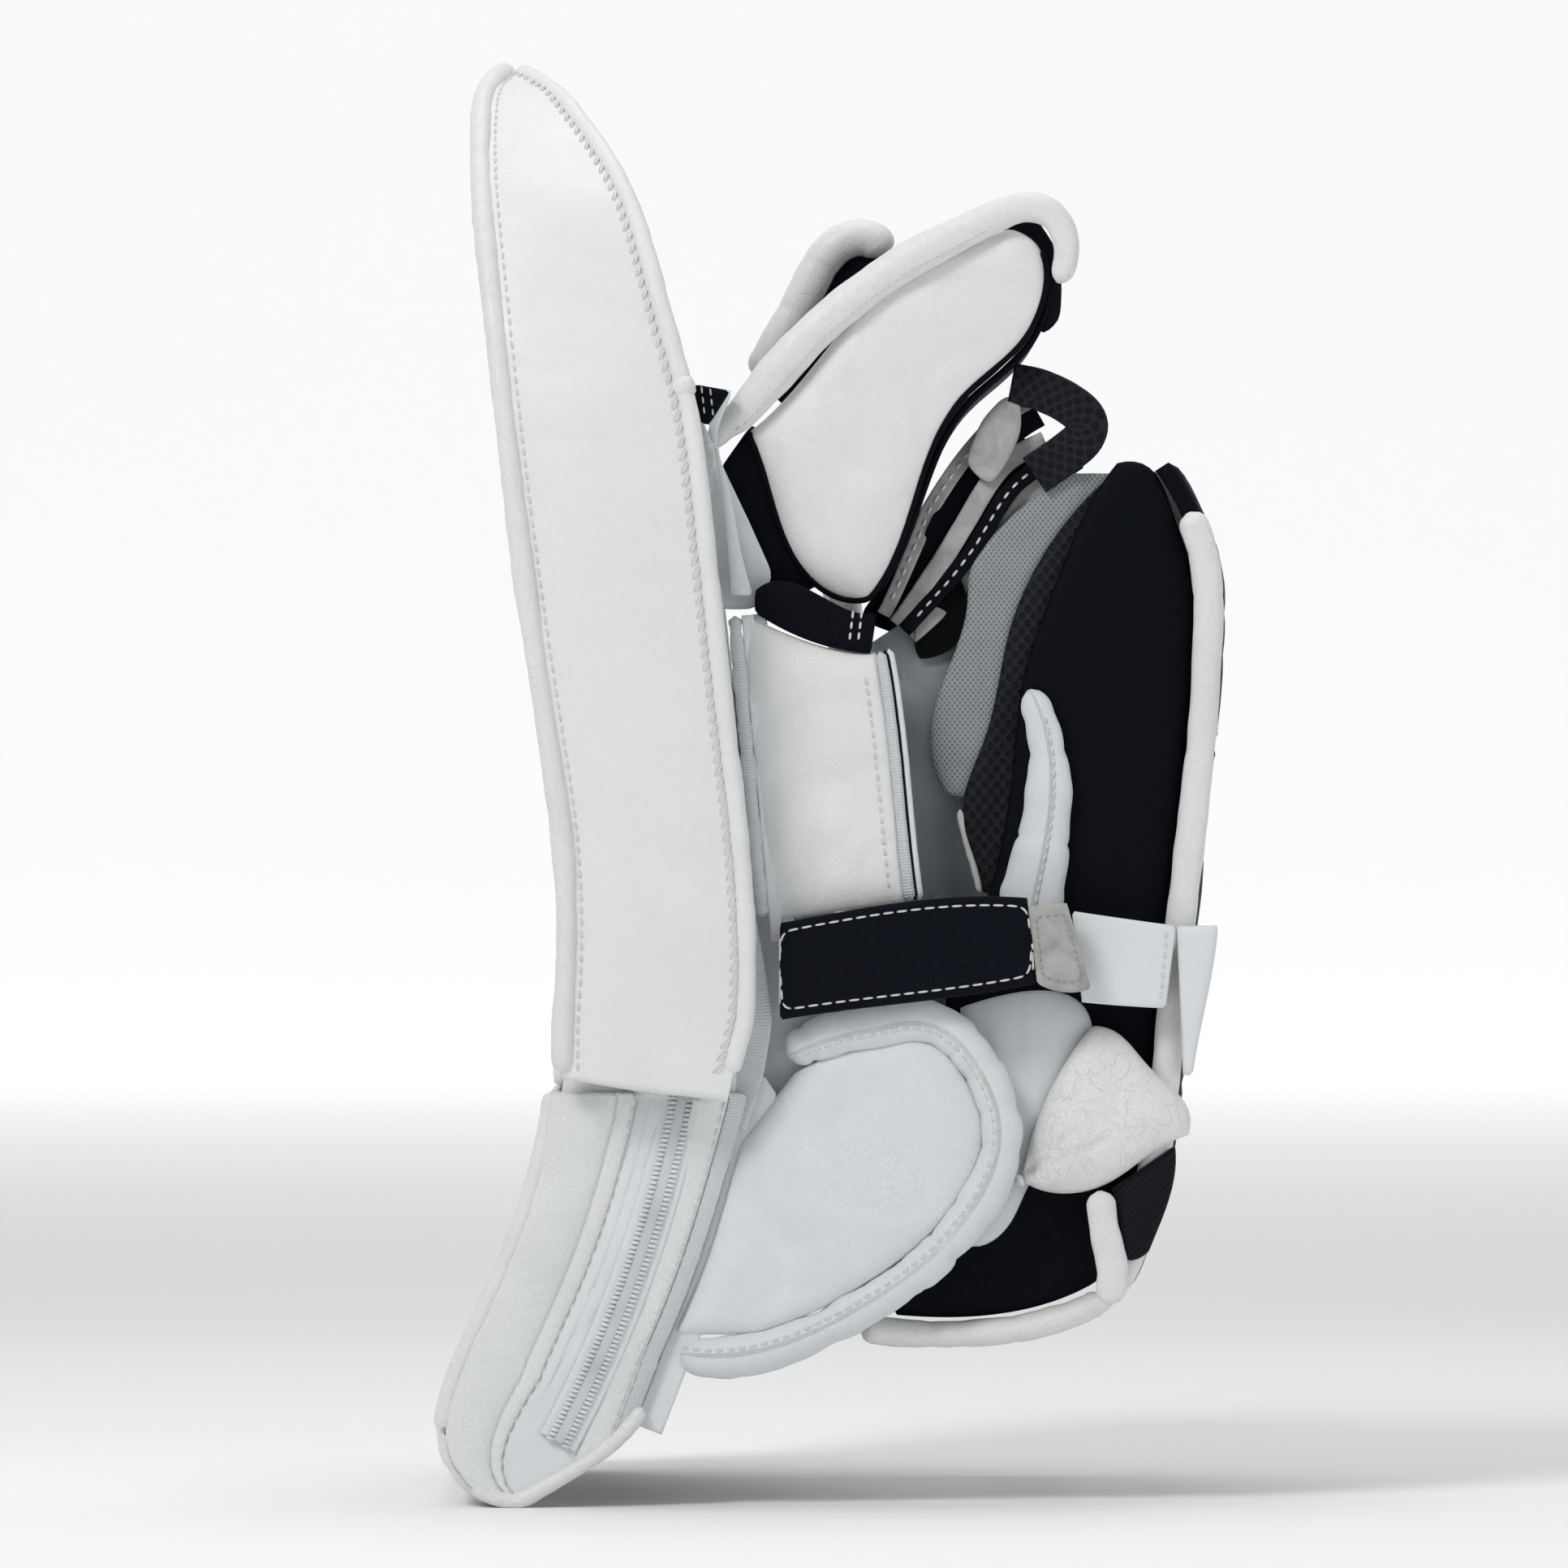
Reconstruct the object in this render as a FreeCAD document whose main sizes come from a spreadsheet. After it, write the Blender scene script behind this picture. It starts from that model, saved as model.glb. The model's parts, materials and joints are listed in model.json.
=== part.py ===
import FreeCAD, Part
import math
import os

from FreeCAD import Placement, Rotation, Vector

# Goalie catch glove for the left hand, in millimetres.
# +Z runs from the wrist to the fingertips, -X is the catching face, +X the back of
# the hand, -Y the little-finger side and +Y the thumb side.
# The origin is the middle of the wrist opening.

SIZES = {
    "plate_reach": 300.0,       # length of the cutters that shape the palm plates
    "skin_depth": 4.5,          # leather and board layers of a palm plate
    "rim_width": 4.0,           # perimeter band, measured in from the plate's edge
    "near_edge": -100.0,        # little-finger face of the cuff
    "cuff_width": 192.0,
    "cuff_skin": 3.0,
    "tape_thick": 1.5,
    "coil_thick": 3.0,
    "slider_gap": 0.6,
    "slider_thick": 4.0,
    "flap_thick": 3.0,
    "lining_width": 170.0,
    "lining_thick": 3.0,
    "panel_inner": -97.0,       # side panel and wrist pad
    "panel_thick": 4.0,
    "pad_inner": -94.0,
    "pad_thick": 10.0,
    "strap_inner": -107.5,
    "strap_thick": 3.5,
    "wall_inner": -80.0,        # little-finger wall of the back shell
    "wall_thick": 4.0,
    "mesh_thick": 3.0,
    "wing_thick": 6.0,
    "tab_thick": 10.0,
    "far_wall_inner": 72.0,
    "board_thick": 5.0,
    "guard_near": -86.0,        # finger guard
    "guard_width": 92.0,
    "guard_thick": 5.0,
    "roll_radius": 4.5,
    "thumb_guard_near": 60.0,
    "thumb_guard_width": 50.0,
    "hand_width": 125.0,
    "hand_near": -70.0,
    "stall_strap_width": 30.0,
    "stem_half_width": 10.0,
    "gusset_half_width": 5.0,
    "lace_width": 5.0,
    "lace_thick": 2.5,
    "lace_gap": 2.0,            # clear of the stem and of the plate's edge
    "slider_cover": 2.0,        # from the slider to the flap over it
    "lining_setback": 3.0,      # cuff lining, in from the little-finger edge
    "gusset_setback": 2.0,
    "tab_extra": 1.0,           # the pull tab is thicker than the strap
    "web_near": 1.5,            # depth of the web behind the catching face
    "web_far": 7.5,
    "pad_clearance": 0.2,
    "ribbon_clearance": 0.6,
    "welt_half": 1.6,           # half widths of the strips seen edge-on
    "glove_half": 2.0,
    "stall_half": 2.2,
    "guard_half": 2.4,
    "thumb_guard_half": 3.0,
    "thumb_roll_half": 5.0,
    "back_roll_extra": 2.0,
    "bottom_roll_half": 4.2,
    "wing_roll_half": 5.6,
}

# The fold line of the palm lies along the catching face, in the plane Y = FOLD_Y.
FOLD_Y = 20.0
FOLD_BOTTOM = (-114.0, 60.0)
FOLD_TOP = (-143.0, 350.0)

# Side profile of the palm plates, as (x, z), from the cuff to the top.
PLATE_FRONT = [(-121.5, 53), (-118.0, 90), (-119.3, 129), (-123.6, 159), (-130.0, 202),
               (-136.6, 255), (-141.6, 299), (-144.4, 330), (-144.4, 345)]
PLATE_BACK = [(-66.0, 53), (-63.0, 92), (-65.0, 125), (-69.0, 159), (-72.5, 190),
              (-76.5, 226), (-80.5, 255), (-88.0, 282), (-98.2, 316), (-109.9, 337),
              (-116.0, 345)]
PLATE_TIP = [(-144.4, 345), (-140.5, 356), (-134.9, 359)]
PLATE_TIP_BACK = [(-134.9, 359), (-125.3, 354.7), (-116.0, 345)]

# Front outlines of the palm plates, as (y, z): the break edge first, then the perimeter.
FINGER_BREAK = [(13, 53), (13, 140)]
FINGER_WEB_EDGE = [(13, 140), (5, 185), (-8, 235), (-18, 290), (-22, 361)]
FINGER_PERIMETER = [(-22, 361), (-55, 350), (-88, 325), (-112, 286), (-124, 232),
                    (-126, 170), (-122, 115), (-117, 67)]
FINGER_STEP = [(-117, 67), (-102.5, 67)]
FINGER_STEP_SIDE = [(-102.5, 67), (-102.5, 53)]
BAND_FLAP = [[(-119.0, 66.8), (-119.5, 56)],
             [(-119.5, 56), (-100.0, 52.6), (-69.6, 48.5)],
             [(-69.6, 48.5), (-65.5, 66.8)],
             [(-65.5, 66.8), (-119.0, 66.8)]]
FINGER_CENTRE = (-50, 190)
THUMB_CENTRE = (78, 150)
THUMB_BREAK = [(27, 66), (27, 140)]
THUMB_WEB_EDGE = [(27, 140), (36, 180), (50, 215), (68, 240), (86, 250)]
THUMB_PERIMETER = [(86, 250), (112, 243), (129, 214), (133, 168), (123, 110), (104, 66)]

# The pocket's web layer at its top, as (x, z), and the heights of the stem and gusset.
WEB_TIP = [(-139.0, 354), (-134.9, 356.5)]
WEB_TIP_BACK = (-131.0, 352.0)
STEM_HEIGHTS = (177, 332)
GUSSET_HEIGHTS = (66, 174)

# Side profile of the cuff, as (x, z).
CUFF_FRONT = [(-121.8, 52), (-130.3, 15.4), (-138.2, -5), (-148.0, -26), (-153.8, -43),
              (-153.5, -57), (-146.0, -67), (-131.0, -72)]
CUFF_BOTTOM = [(-131.0, -72), (-112.6, -61), (-97.4, -48), (-91.7, -34)]
CUFF_BACK = [(-91.7, -34), (-78.0, -1.4), (-66.5, 36), (-62.6, 50.3)]
CUFF_LOW_END = (-131.0, -66.0)
CUFF_CORE_BOTTOM = [(-131.0, -66.0), (-114.0, -57.0), (-102.0, -45), (-96.0, -33)]
RIBBON_WIDTH = 5.0

# The zip follows a round arc down the little-finger edge of the cuff.
ZIP_CENTRE = (-438.8, 120.1)
ZIP_RADIUS = 362.7
ZIP_ANGLES = (-28.5, -9.0)
ZIP_ROW_OFFSET = 2.6
ZIP_ROW_WIDTH = 3.0
ZIP_TAPE_WIDTH = 19.0
SLIDER_ANGLES = (-11.2, -9.4)
SLIDER_SIDE = 1.0

SIDE_PANEL = [[(-57.0, 102), (-60.5, 140), (-63.5, 170), (-64.0, 193)],
              [(-64.0, 193), (-53.0, 188), (-39.8, 183.4), (-25.2, 182)],
              [(-25.2, 182), (-22.0, 161), (-18.2, 123), (-16.3, 107.5)],
              [(-16.3, 107.5), (-57.0, 102)]]
SIDE_PANEL_WELT = [(-59.3, 103), (-62.2, 135), (-65.0, 165), (-67.5, 193)]

WRIST_PAD_PATH = [(-52.0, 62), (-38.0, 68), (-24.0, 71), (-12.0, 72.5), (-2.0, 68), (6.0, 58),
                  (11.5, 45), (11.0, 30), (4.0, 16), (-8.0, 2), (-24.0, -10), (-42.0, -20),
                  (-60.0, -26.5), (-84.0, -27.0)]
WRIST_PAD_ROLL = 5.6
WRIST_PAD_LOW = (-79.5, -21.4)
WRIST_PAD_SIDE = (-74.0, 8.0)

BACK_FABRIC = [[(-77.0, 257), (-68.6, 260), (-72.5, 248), (-70.5, 236), (-66.0, 214),
                (-62.0, 199)],
               [(-62.0, 199), (-68.5, 199)],
               [(-68.5, 199), (-70.5, 222), (-74.0, 245), (-77.0, 257)]]
TWILL_GUSSET = [[(-61.0, 199.5), (-56.0, 202), (-43.4, 199), (-25.7, 194)],
                [(-25.7, 194), (-27.4, 183.5)],
                [(-27.4, 183.5), (-40.5, 185.4), (-50.0, 188.5), (-61.0, 194)],
                [(-61.0, 194), (-61.0, 199.5)]]

# Finger guard: a channel behind the fingers, open towards the catching side.
GUARD_WING = [[(-62.0, 248), (-45.8, 264), (-24.2, 288), (-9.4, 297), (13.4, 307)],
              [(13.4, 307), (23.0, 300), (22.5, 284), (17.0, 274), (0.0, 258), (-12.0, 234),
               (-20.0, 211), (-27.0, 200)],
              [(-27.0, 200), (-36.0, 200.5), (-46.0, 208), (-55.0, 228), (-62.0, 248)]]
GUARD_BACK = [(-23.0, 200), (-16.0, 213), (-8.0, 235), (3.5, 256), (20.0, 271), (27.0, 284),
              (27.0, 298)]
GUARD_ROLL = [(-71.5, 245.5), (-66.0, 254), (-54.5, 268), (-42.0, 281), (-29.0, 291.5),
              (-15.0, 301), (-2.0, 307.5), (11.0, 314), (23.0, 316), (31.0, 311)]
GUARD_FAR_ROLL = [(-61.0, 267), (-53.0, 281), (-45.0, 296), (-37.0, 308), (-29.0, 310.5),
                  (-21.0, 305)]
GUARD_LINING = [[(-62.5, 245.0), (-64.5, 236), (-62.5, 222), (-57.0, 206)],
                [(-57.0, 206), (-48.5, 206.5)],
                [(-48.5, 206.5), (-57.0, 226), (-62.5, 245.0)]]

# Back shell: walls on both sides of the hand and a board across its back.
BOARD_PATH = [(60.0, 238), (68.0, 224), (73.3, 207), (73.8, 184), (72.2, 159), (69.5, 134),
              (66.5, 108), (63.8, 85), (61.5, 57), (58.5, 33), (53.0, 8), (45.0, -9)]
SHELL_WALL = [[(47.0, 239), (56.0, 238), (64.0, 223), (69.3, 206), (69.8, 184), (68.0, 159),
               (65.4, 134), (62.4, 108), (59.6, 85), (57.4, 57), (54.0, 33), (48.5, 10),
               (41.0, -6)],
              [(41.0, -6), (28.0, -12.0), (10.0, -16), (-20.0, -16)],
              [(-20.0, -16), (-18.0, 20), (-12.0, 50), (0.0, 85), (10.0, 115), (16.0, 150),
               (19.0, 175), (28.3, 202), (40.0, 229), (47.0, 239)]]
SPACER_MESH = [[(46.0, 236), (31.4, 221), (22.3, 207), (15.1, 190), (12.0, 176), (7.2, 156),
                (0.8, 135), (4.0, 121), (7.0, 110)],
               [(7.0, 110), (18.0, 110)],
               [(18.0, 110), (23.0, 150), (26.0, 178), (36.0, 206), (46.0, 236)]]
KNIT_STRIP = [[(33.0, 236), (18.2, 225.6), (8.2, 215.5), (3.1, 207), (2.2, 197), (-1.0, 184),
               (-6.0, 171), (-4.0, 140)],
              [(-4.0, 140), (3.0, 138)],
              [(3.0, 138), (10.0, 156), (15.0, 176), (18.0, 190), (25.0, 207), (34.0, 221),
               (46.0, 236)],
              [(46.0, 236), (33.0, 236)]]
BOTTOM_BINDING = [(-30.0, -20.0), (-14.0, -21.5), (4.0, -21.5), (20.0, -19.5), (34.0, -15.5),
                  (43.0, -11.0)]
WRIST_WING = [[(0.0, 6), (4.3, 4.5), (13.4, 9.6), (19.0, 20), (30.0, 40), (39.4, 70)],
              [(39.4, 70), (36.0, 77.3), (14.0, 80), (0.0, 76)],
              [(0.0, 76), (0.0, 6)]]
WING_ROLL = [(20.4, 171), (24.5, 160), (26.5, 145), (25.0, 128), (21.5, 111)]
LEATHER_TAB = [[(39.4, 70.6), (45.0, 69.5), (56.6, 58), (68.0, 45.5), (68.0, 38)],
               [(68.0, 38), (59.0, 34), (42.0, 22.8), (30.2, 20.6), (18.0, 24.5)],
               [(18.0, 24.5), (21.1, 37.4), (27.6, 53.3), (39.4, 70.6)]]
TEXTURED_PANEL = [[(45.0, 22), (64.0, 35)],
                  [(64.0, 35), (63.2, 22.6), (60.0, 12.7), (56.0, 2.9)],
                  [(56.0, 2.9), (49.0, 1.0), (46.5, 12.0), (45.0, 22)]]
WHITE_STRAP = [[(33.0, 105), (50.0, 102.5), (64.0, 100.6)],
               [(64.0, 100.6), (61.0, 76)],
               [(61.0, 76), (50.0, 76.6), (36.0, 77.8)],
               [(36.0, 77.8), (33.0, 105)]]
STRAP_KEEPER = [[(64.2, 100.5), (76.6, 100.6)],
                [(76.6, 100.6), (74.8, 86.6), (71.0, 67.7), (69.0, 56)],
                [(69.0, 56), (66.3, 56)],
                [(66.3, 56), (64.2, 100.5)]]

STRAP_WEBBING = [[(-54.0, 101.5), (-22.8, 107), (2.9, 109.4), (19.5, 109)],
                 [(19.5, 109), (22.0, 83.5)],
                 [(22.0, 83.5), (2.9, 80.2), (-16.0, 77.8), (-54.0, 72.7)],
                 [(-54.0, 72.7), (-54.0, 101.5)]]
STRAP_TAB = [[(19.9, 106.5), (31.2, 107.5)],
             [(31.2, 107.5), (35.0, 94.3), (38.4, 82)],
             [(38.4, 82), (30.0, 81), (22.4, 83.6)],
             [(22.4, 83.6), (19.9, 106.5)]]

# Inner glove: the palm side and the back of the hand.
INNER_PALM = [(-57.0, 90), (-61.0, 125), (-62.5, 155), (-60.0, 178)]
INNER_BACK = [(-10.0, 62), (-7.0, 90), (-9.0, 120), (-13.0, 150), (-18.0, 178)]
STALL_STRAP = [(-19.0, 190.5), (-8.0, 206), (2.0, 222), (13.0, 238), (26.0, 247)]
THUMB_GUARD = [(-56.0, 92), (-42.0, 120), (-35.0, 155), (-34.0, 190), (-41.0, 225)]
FAR_GUSSET = [[(-70.0, -4), (-58.5, 52)],
              [(-58.5, 52), (-30.0, 56), (-12.0, 50)],
              [(-12.0, 50), (-16.0, 20), (-18.0, -12)],
              [(-18.0, -12), (-45.0, -14), (-70.0, -4)]]

TOP_BAR_CENTRE = (20.0, 262.0)
TOP_BAR_OUTER = 97.0
TOP_BAR_INNER = 73.0
TOP_BAR_ANGLES = {"finger": (97.0, 115.0), "thumb": (2.0, 83.0)}
LACE_ROWS = {"finger": [(205, 7), (232, -7), (259, 7), (286, -7), (311, 6)],
             "thumb": [(232, 7), (259, -7), (286, 7), (311, -6)]}

document = FreeCAD.newDocument("CatchGlove")
pieces = []


def make_sheet():
    """Write the driving sizes into a spreadsheet with one alias per row."""
    sheet = document.addObject("Spreadsheet::Sheet", "Dims")
    for row, (alias, value) in enumerate(SIZES.items(), start=1):
        sheet.set(f"A{row}", alias.replace("_", " "))
        sheet.set(f"B{row}", str(value))
        sheet.setAlias(f"B{row}", alias)
    document.recompute()


def draw(sketch, segments):
    """Add each run of points to the sketch, as a line or as a smooth curve."""
    for points in segments:
        places = [Vector(across, up, 0) for across, up in points]
        if len(places) == 2:
            sketch.addGeometry(Part.LineSegment(*places), False)
        else:
            curve = Part.BSplineCurve()
            curve.interpolate(places)
            sketch.addGeometry(curve, False)


def offset_path(path, distance):
    """The path moved sideways by a distance, to the left of its direction."""
    moved = []
    for index, (across, up) in enumerate(path):
        before = path[max(index - 1, 0)]
        after = path[min(index + 1, len(path) - 1)]
        run, rise = after[0] - before[0], after[1] - before[1]
        length = math.hypot(run, rise)
        moved.append((across - rise / length * distance, up + run / length * distance))
    return moved


def strip(path, left, right=None):
    """The outline of a band along a path, with its two widths."""
    right = left if right is None else right
    one, other = offset_path(path, left), offset_path(path, -right)[::-1]
    return [one, [one[-1], other[0]], other, [other[-1], one[0]]]


def slab(label, outline, inner, thick):
    """A body with a side outline (x, z), padded towards -Y from its inner face."""
    body = document.addObject("PartDesign::Body", label)
    sketch = body.newObject("Sketcher::SketchObject", label + "_outline")
    plane = next(item for item in body.Origin.OriginFeatures if item.Role == "XZ_Plane")
    sketch.AttachmentSupport = [(plane, "")]
    sketch.MapMode = "FlatFace"
    draw(sketch, outline)
    pad = body.newObject("PartDesign::Pad", label + "_pad")
    pad.Profile = sketch
    pad.setExpression("Length", thick)
    body.setExpression("Placement.Base.y", inner)
    body.Label = label
    pieces.append(body)
    return body


def cutter(name, plane, segments):
    """A long prism with a side (XZ) or front (YZ) outline, for shaping the plates."""
    turns = {"XZ": Rotation(Vector(1, 0, 0), 90), "YZ": Rotation(Vector(1, 1, 1), 120)}
    sketch = document.addObject("Sketcher::SketchObject", name + "_outline")
    sketch.Placement = Placement(Vector(0, 0, 0), turns[plane])
    draw(sketch, segments)
    prism = document.addObject("Part::Extrusion", name)
    prism.Base = sketch
    prism.DirMode = "Normal"
    prism.Solid = True
    prism.Symmetric = True
    prism.setExpression("LengthFwd", "2 * Dims.plate_reach")
    return prism


def cross(label, side, front):
    """The solid that has one prism's side outline and the other's front outline."""
    solid = document.addObject("Part::Common", label)
    solid.Base = side
    solid.Tool = front
    solid.Label = label
    pieces.append(solid)
    return solid


def gather(label, solids):
    """One sub-part made of several separate solids."""
    group = document.addObject("Part::Compound", label)
    group.Links = solids
    group.Label = label
    pieces.append(group)


def shifted(points, distance):
    """A profile line moved along X."""
    return [(across + distance, up) for across, up in points]


def inset(points, centre, distance):
    """An outline run moved towards a centre by a distance."""
    moved = []
    for across, up in points:
        run, rise = centre[0] - across, centre[1] - up
        length = math.hypot(run, rise)
        moved.append((across + run / length * distance, up + rise / length * distance))
    return moved


def make_layers():
    """Side profiles of the three layers of a palm plate."""
    depth = SIZES["skin_depth"]
    front, back = PLATE_FRONT, PLATE_BACK[::-1]
    front_inner, back_inner = shifted(front, depth), shifted(back, -depth)
    layers = {}
    layers["front"] = cutter("layer_front", "XZ", [
        front, [front[-1], front_inner[-1]], front_inner[::-1], [front_inner[0], front[0]]])
    layers["middle"] = cutter("layer_middle", "XZ", [
        front_inner, [front_inner[-1], front[-1]], PLATE_TIP, PLATE_TIP_BACK,
        [back[0], back_inner[0]], back_inner, [back_inner[-1], front_inner[0]]])
    layers["back"] = cutter("layer_back", "XZ", [
        back, [back[-1], back_inner[-1]], back_inner[::-1], [back_inner[0], back[0]]])
    return layers


def make_plate(side, centre, edges, layers):
    """A palm plate: leather, foam and board inside, and the edge pieces round them."""
    whole = cutter(side + "_whole", "YZ", edges + [[edges[-1][-1], edges[0][0]]])
    inner_edges = [inset(run, centre, SIZES["rim_width"]) for run in edges]
    closing = [[inner_edges[-1][-1], inner_edges[0][0]]]
    field = cutter(side + "_field", "YZ", inner_edges + closing)
    rim = document.addObject("Part::Cut", side + "_rim")
    rim.Base = whole
    rim.Tool = field
    cross(side + "_palm_leather", layers["front"], field)
    cross(side + "_palm_core", layers["middle"], field)
    cross(side + "_back_board", layers["back"], field)
    cross(side + "_front_roll", layers["front"], rim)
    cross(side + "_perimeter_band", layers["middle"], rim)
    cross(side + "_back_binding", layers["back"], rim)


def arc_points(centre, radius, start, stop, count=5):
    """Points along an arc, with angles in degrees."""
    angles = [math.radians(start + (stop - start) * step / (count - 1)) for step in range(count)]
    return [(centre[0] + radius * math.cos(turn), centre[1] + radius * math.sin(turn))
            for turn in angles]


def make_top_bars(web_layer):
    """The two halves of the bar across the top of the pocket."""
    for side, (start, stop) in TOP_BAR_ANGLES.items():
        outer = arc_points(TOP_BAR_CENTRE, TOP_BAR_OUTER, start, stop)
        inner = arc_points(TOP_BAR_CENTRE, TOP_BAR_INNER, stop, start)
        ring = cutter(side + "_bar_ring", "YZ", [
            outer, [outer[-1], inner[0]], inner, [inner[-1], outer[0]]])
        cross(side + "_top_bar", web_layer, ring)


def fold_x(height):
    """X of the fold line at a height."""
    share = (height - FOLD_BOTTOM[1]) / (FOLD_TOP[1] - FOLD_BOTTOM[1])
    return FOLD_BOTTOM[0] + share * (FOLD_TOP[0] - FOLD_BOTTOM[0])


def web_edge_y(edge, height):
    """Y of a plate's web edge at a height, between its points."""
    for (y_low, z_low), (y_high, z_high) in zip(edge, edge[1:]):
        if z_low <= height <= z_high:
            return y_low + (y_high - y_low) * (height - z_low) / (z_high - z_low)
    return edge[-1][0]


def make_laces(side, edge, stem_side):
    """Flat laces from the pocket's stem to a plate's web edge."""
    laces, gap = [], SIZES["lace_gap"]
    for height, rise in LACE_ROWS[side]:
        start = FOLD_Y + stem_side * (SIZES["stem_half_width"] + gap)
        stop = web_edge_y(edge, height) - stem_side * gap
        if side == "thumb" and height > edge[-1][1]:
            reach = math.sqrt(TOP_BAR_INNER ** 2 - (height - TOP_BAR_CENTRE[1]) ** 2)
            stop = TOP_BAR_CENTRE[0] + reach - gap
        lace = document.addObject("Part::Box", f"{side}_lace_{height}")
        tilt = rise if stem_side > 0 else 180 - rise
        lace.Placement = Placement(Vector(fold_x(height) + gap, start, height),
                                   Rotation(Vector(1, 0, 0), tilt))
        lace.setExpression("Length", "Dims.lace_thick")
        lace.setExpression("Height", "Dims.lace_width")
        lace.Width = abs(stop - start) - gap
        laces.append(lace)
    gather(side + "_side_laces", laces)


def upright(name, half, low, high):
    """A cutter with a rectangular front outline, centred on the fold."""
    left, right = FOLD_Y - half, FOLD_Y + half
    return cutter(name, "YZ", [
        [(left, low), (right, low)], [(right, low), (right, high)],
        [(right, high), (left, high)], [(left, high), (left, low)]])


def make_pocket(web_layer):
    """The stem of the pocket and the soft strip in the palm's fold."""
    stem = upright("stem_front", SIZES["stem_half_width"], *STEM_HEIGHTS)
    gusset = upright("gusset_front", SIZES["gusset_half_width"], *GUSSET_HEIGHTS)
    cross("pocket_stem", web_layer, stem)
    cross("break_gusset", web_layer, gusset)


def make_palm():
    """Both palm plates and the pocket between them."""
    layers = make_layers()
    make_plate("finger", FINGER_CENTRE, [FINGER_BREAK, FINGER_WEB_EDGE, FINGER_PERIMETER,
                                         FINGER_STEP, FINGER_STEP_SIDE], layers)
    make_plate("thumb", THUMB_CENTRE, [THUMB_BREAK, THUMB_WEB_EDGE, THUMB_PERIMETER], layers)
    web_near = shifted(PLATE_FRONT, SIZES["web_near"])
    web_far = shifted(PLATE_FRONT, SIZES["web_far"])
    tip = [web_near[-1], *WEB_TIP]
    tip_back = [tip[-1], WEB_TIP_BACK, web_far[-1]]
    web_layer = cutter("layer_web", "XZ", [
        web_near, tip, tip_back, web_far[::-1], [web_far[0], web_near[0]]])
    make_top_bars(web_layer)
    make_pocket(web_layer)
    make_laces("finger", FINGER_WEB_EDGE, -1)
    make_laces("thumb", THUMB_WEB_EDGE, 1)


def zip_strip(width, offset, angles):
    """Outline of a strip along the zip's arc, offset across it."""
    start, stop = angles
    outer = arc_points(ZIP_CENTRE, ZIP_RADIUS + offset + width / 2, start, stop)
    inner = arc_points(ZIP_CENTRE, ZIP_RADIUS + offset - width / 2, stop, start)
    return [outer, [outer[-1], inner[0]], inner, [inner[-1], outer[0]]]


def make_cuff():
    """The cuff: foam, leather, edge panel, zip and ribbon."""
    depth = SIZES["skin_depth"]
    front_inner = offset_path(CUFF_FRONT, depth)[:-1]
    front_inner[0] = (CUFF_FRONT[0][0] + depth, CUFF_FRONT[0][1])
    low_end = CUFF_LOW_END
    slab("cuff_front_leather",
         [CUFF_FRONT, [CUFF_FRONT[-1], low_end], [low_end, front_inner[-1]],
          front_inner[::-1], [front_inner[0], CUFF_FRONT[0]]],
         "Dims.near_edge + Dims.cuff_width", "Dims.cuff_width")
    bottom = CUFF_CORE_BOTTOM
    back = offset_path(CUFF_BACK, SIZES["lining_thick"])
    slab("cuff_core",
         [front_inner, [front_inner[-1], low_end], bottom, [bottom[-1], back[0]], back,
          [back[-1], front_inner[0]]],
         "Dims.near_edge + Dims.cuff_width", "Dims.cuff_width")
    slab("cuff_back_lining",
         [CUFF_BACK, [CUFF_BACK[-1], back[-1]], back[::-1], [back[0], CUFF_BACK[0]]],
         "Dims.near_edge + Dims.lining_setback + Dims.lining_width", "Dims.lining_width")
    ribbon_edge = offset_path(CUFF_BACK, RIBBON_WIDTH)
    slab("cuff_edge_panel",
         [CUFF_FRONT, CUFF_BOTTOM, [CUFF_BOTTOM[-1], ribbon_edge[0]], ribbon_edge,
          [ribbon_edge[-1], CUFF_FRONT[0]]],
         "Dims.near_edge", "Dims.cuff_skin")
    slab("grosgrain_ribbon",
         [CUFF_BACK, [CUFF_BACK[-1], ribbon_edge[-1]], ribbon_edge[::-1],
          [ribbon_edge[0], CUFF_BACK[0]]],
         "Dims.near_edge", "Dims.cuff_skin")


def make_zip():
    """The zip's tape, its coil rows, its slider and the flap that covers its top."""
    face = "Dims.near_edge - Dims.cuff_skin"
    slab("zip_tape", zip_strip(ZIP_TAPE_WIDTH, 0.0, ZIP_ANGLES), face, "Dims.tape_thick")
    rows = []
    for name, side in (("coil_row_front", -1), ("coil_row_back", 1)):
        row = zip_strip(ZIP_ROW_WIDTH, side * ZIP_ROW_OFFSET, ZIP_ANGLES)
        rows.append(slab(name, row, face + " - Dims.tape_thick", "Dims.coil_thick"))
        pieces.pop()
    gather("zip_coils", rows)
    slider_width = 2 * (ZIP_ROW_OFFSET + SLIDER_SIDE) + ZIP_ROW_WIDTH
    over_coils = face + " - Dims.tape_thick - Dims.coil_thick - Dims.slider_gap"
    slab("zip_slider", zip_strip(slider_width, 0.0, SLIDER_ANGLES), over_coils,
         "Dims.slider_thick")
    slab("band_flap", BAND_FLAP, over_coils + " - Dims.slider_thick - Dims.slider_cover",
         "Dims.flap_thick")


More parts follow.
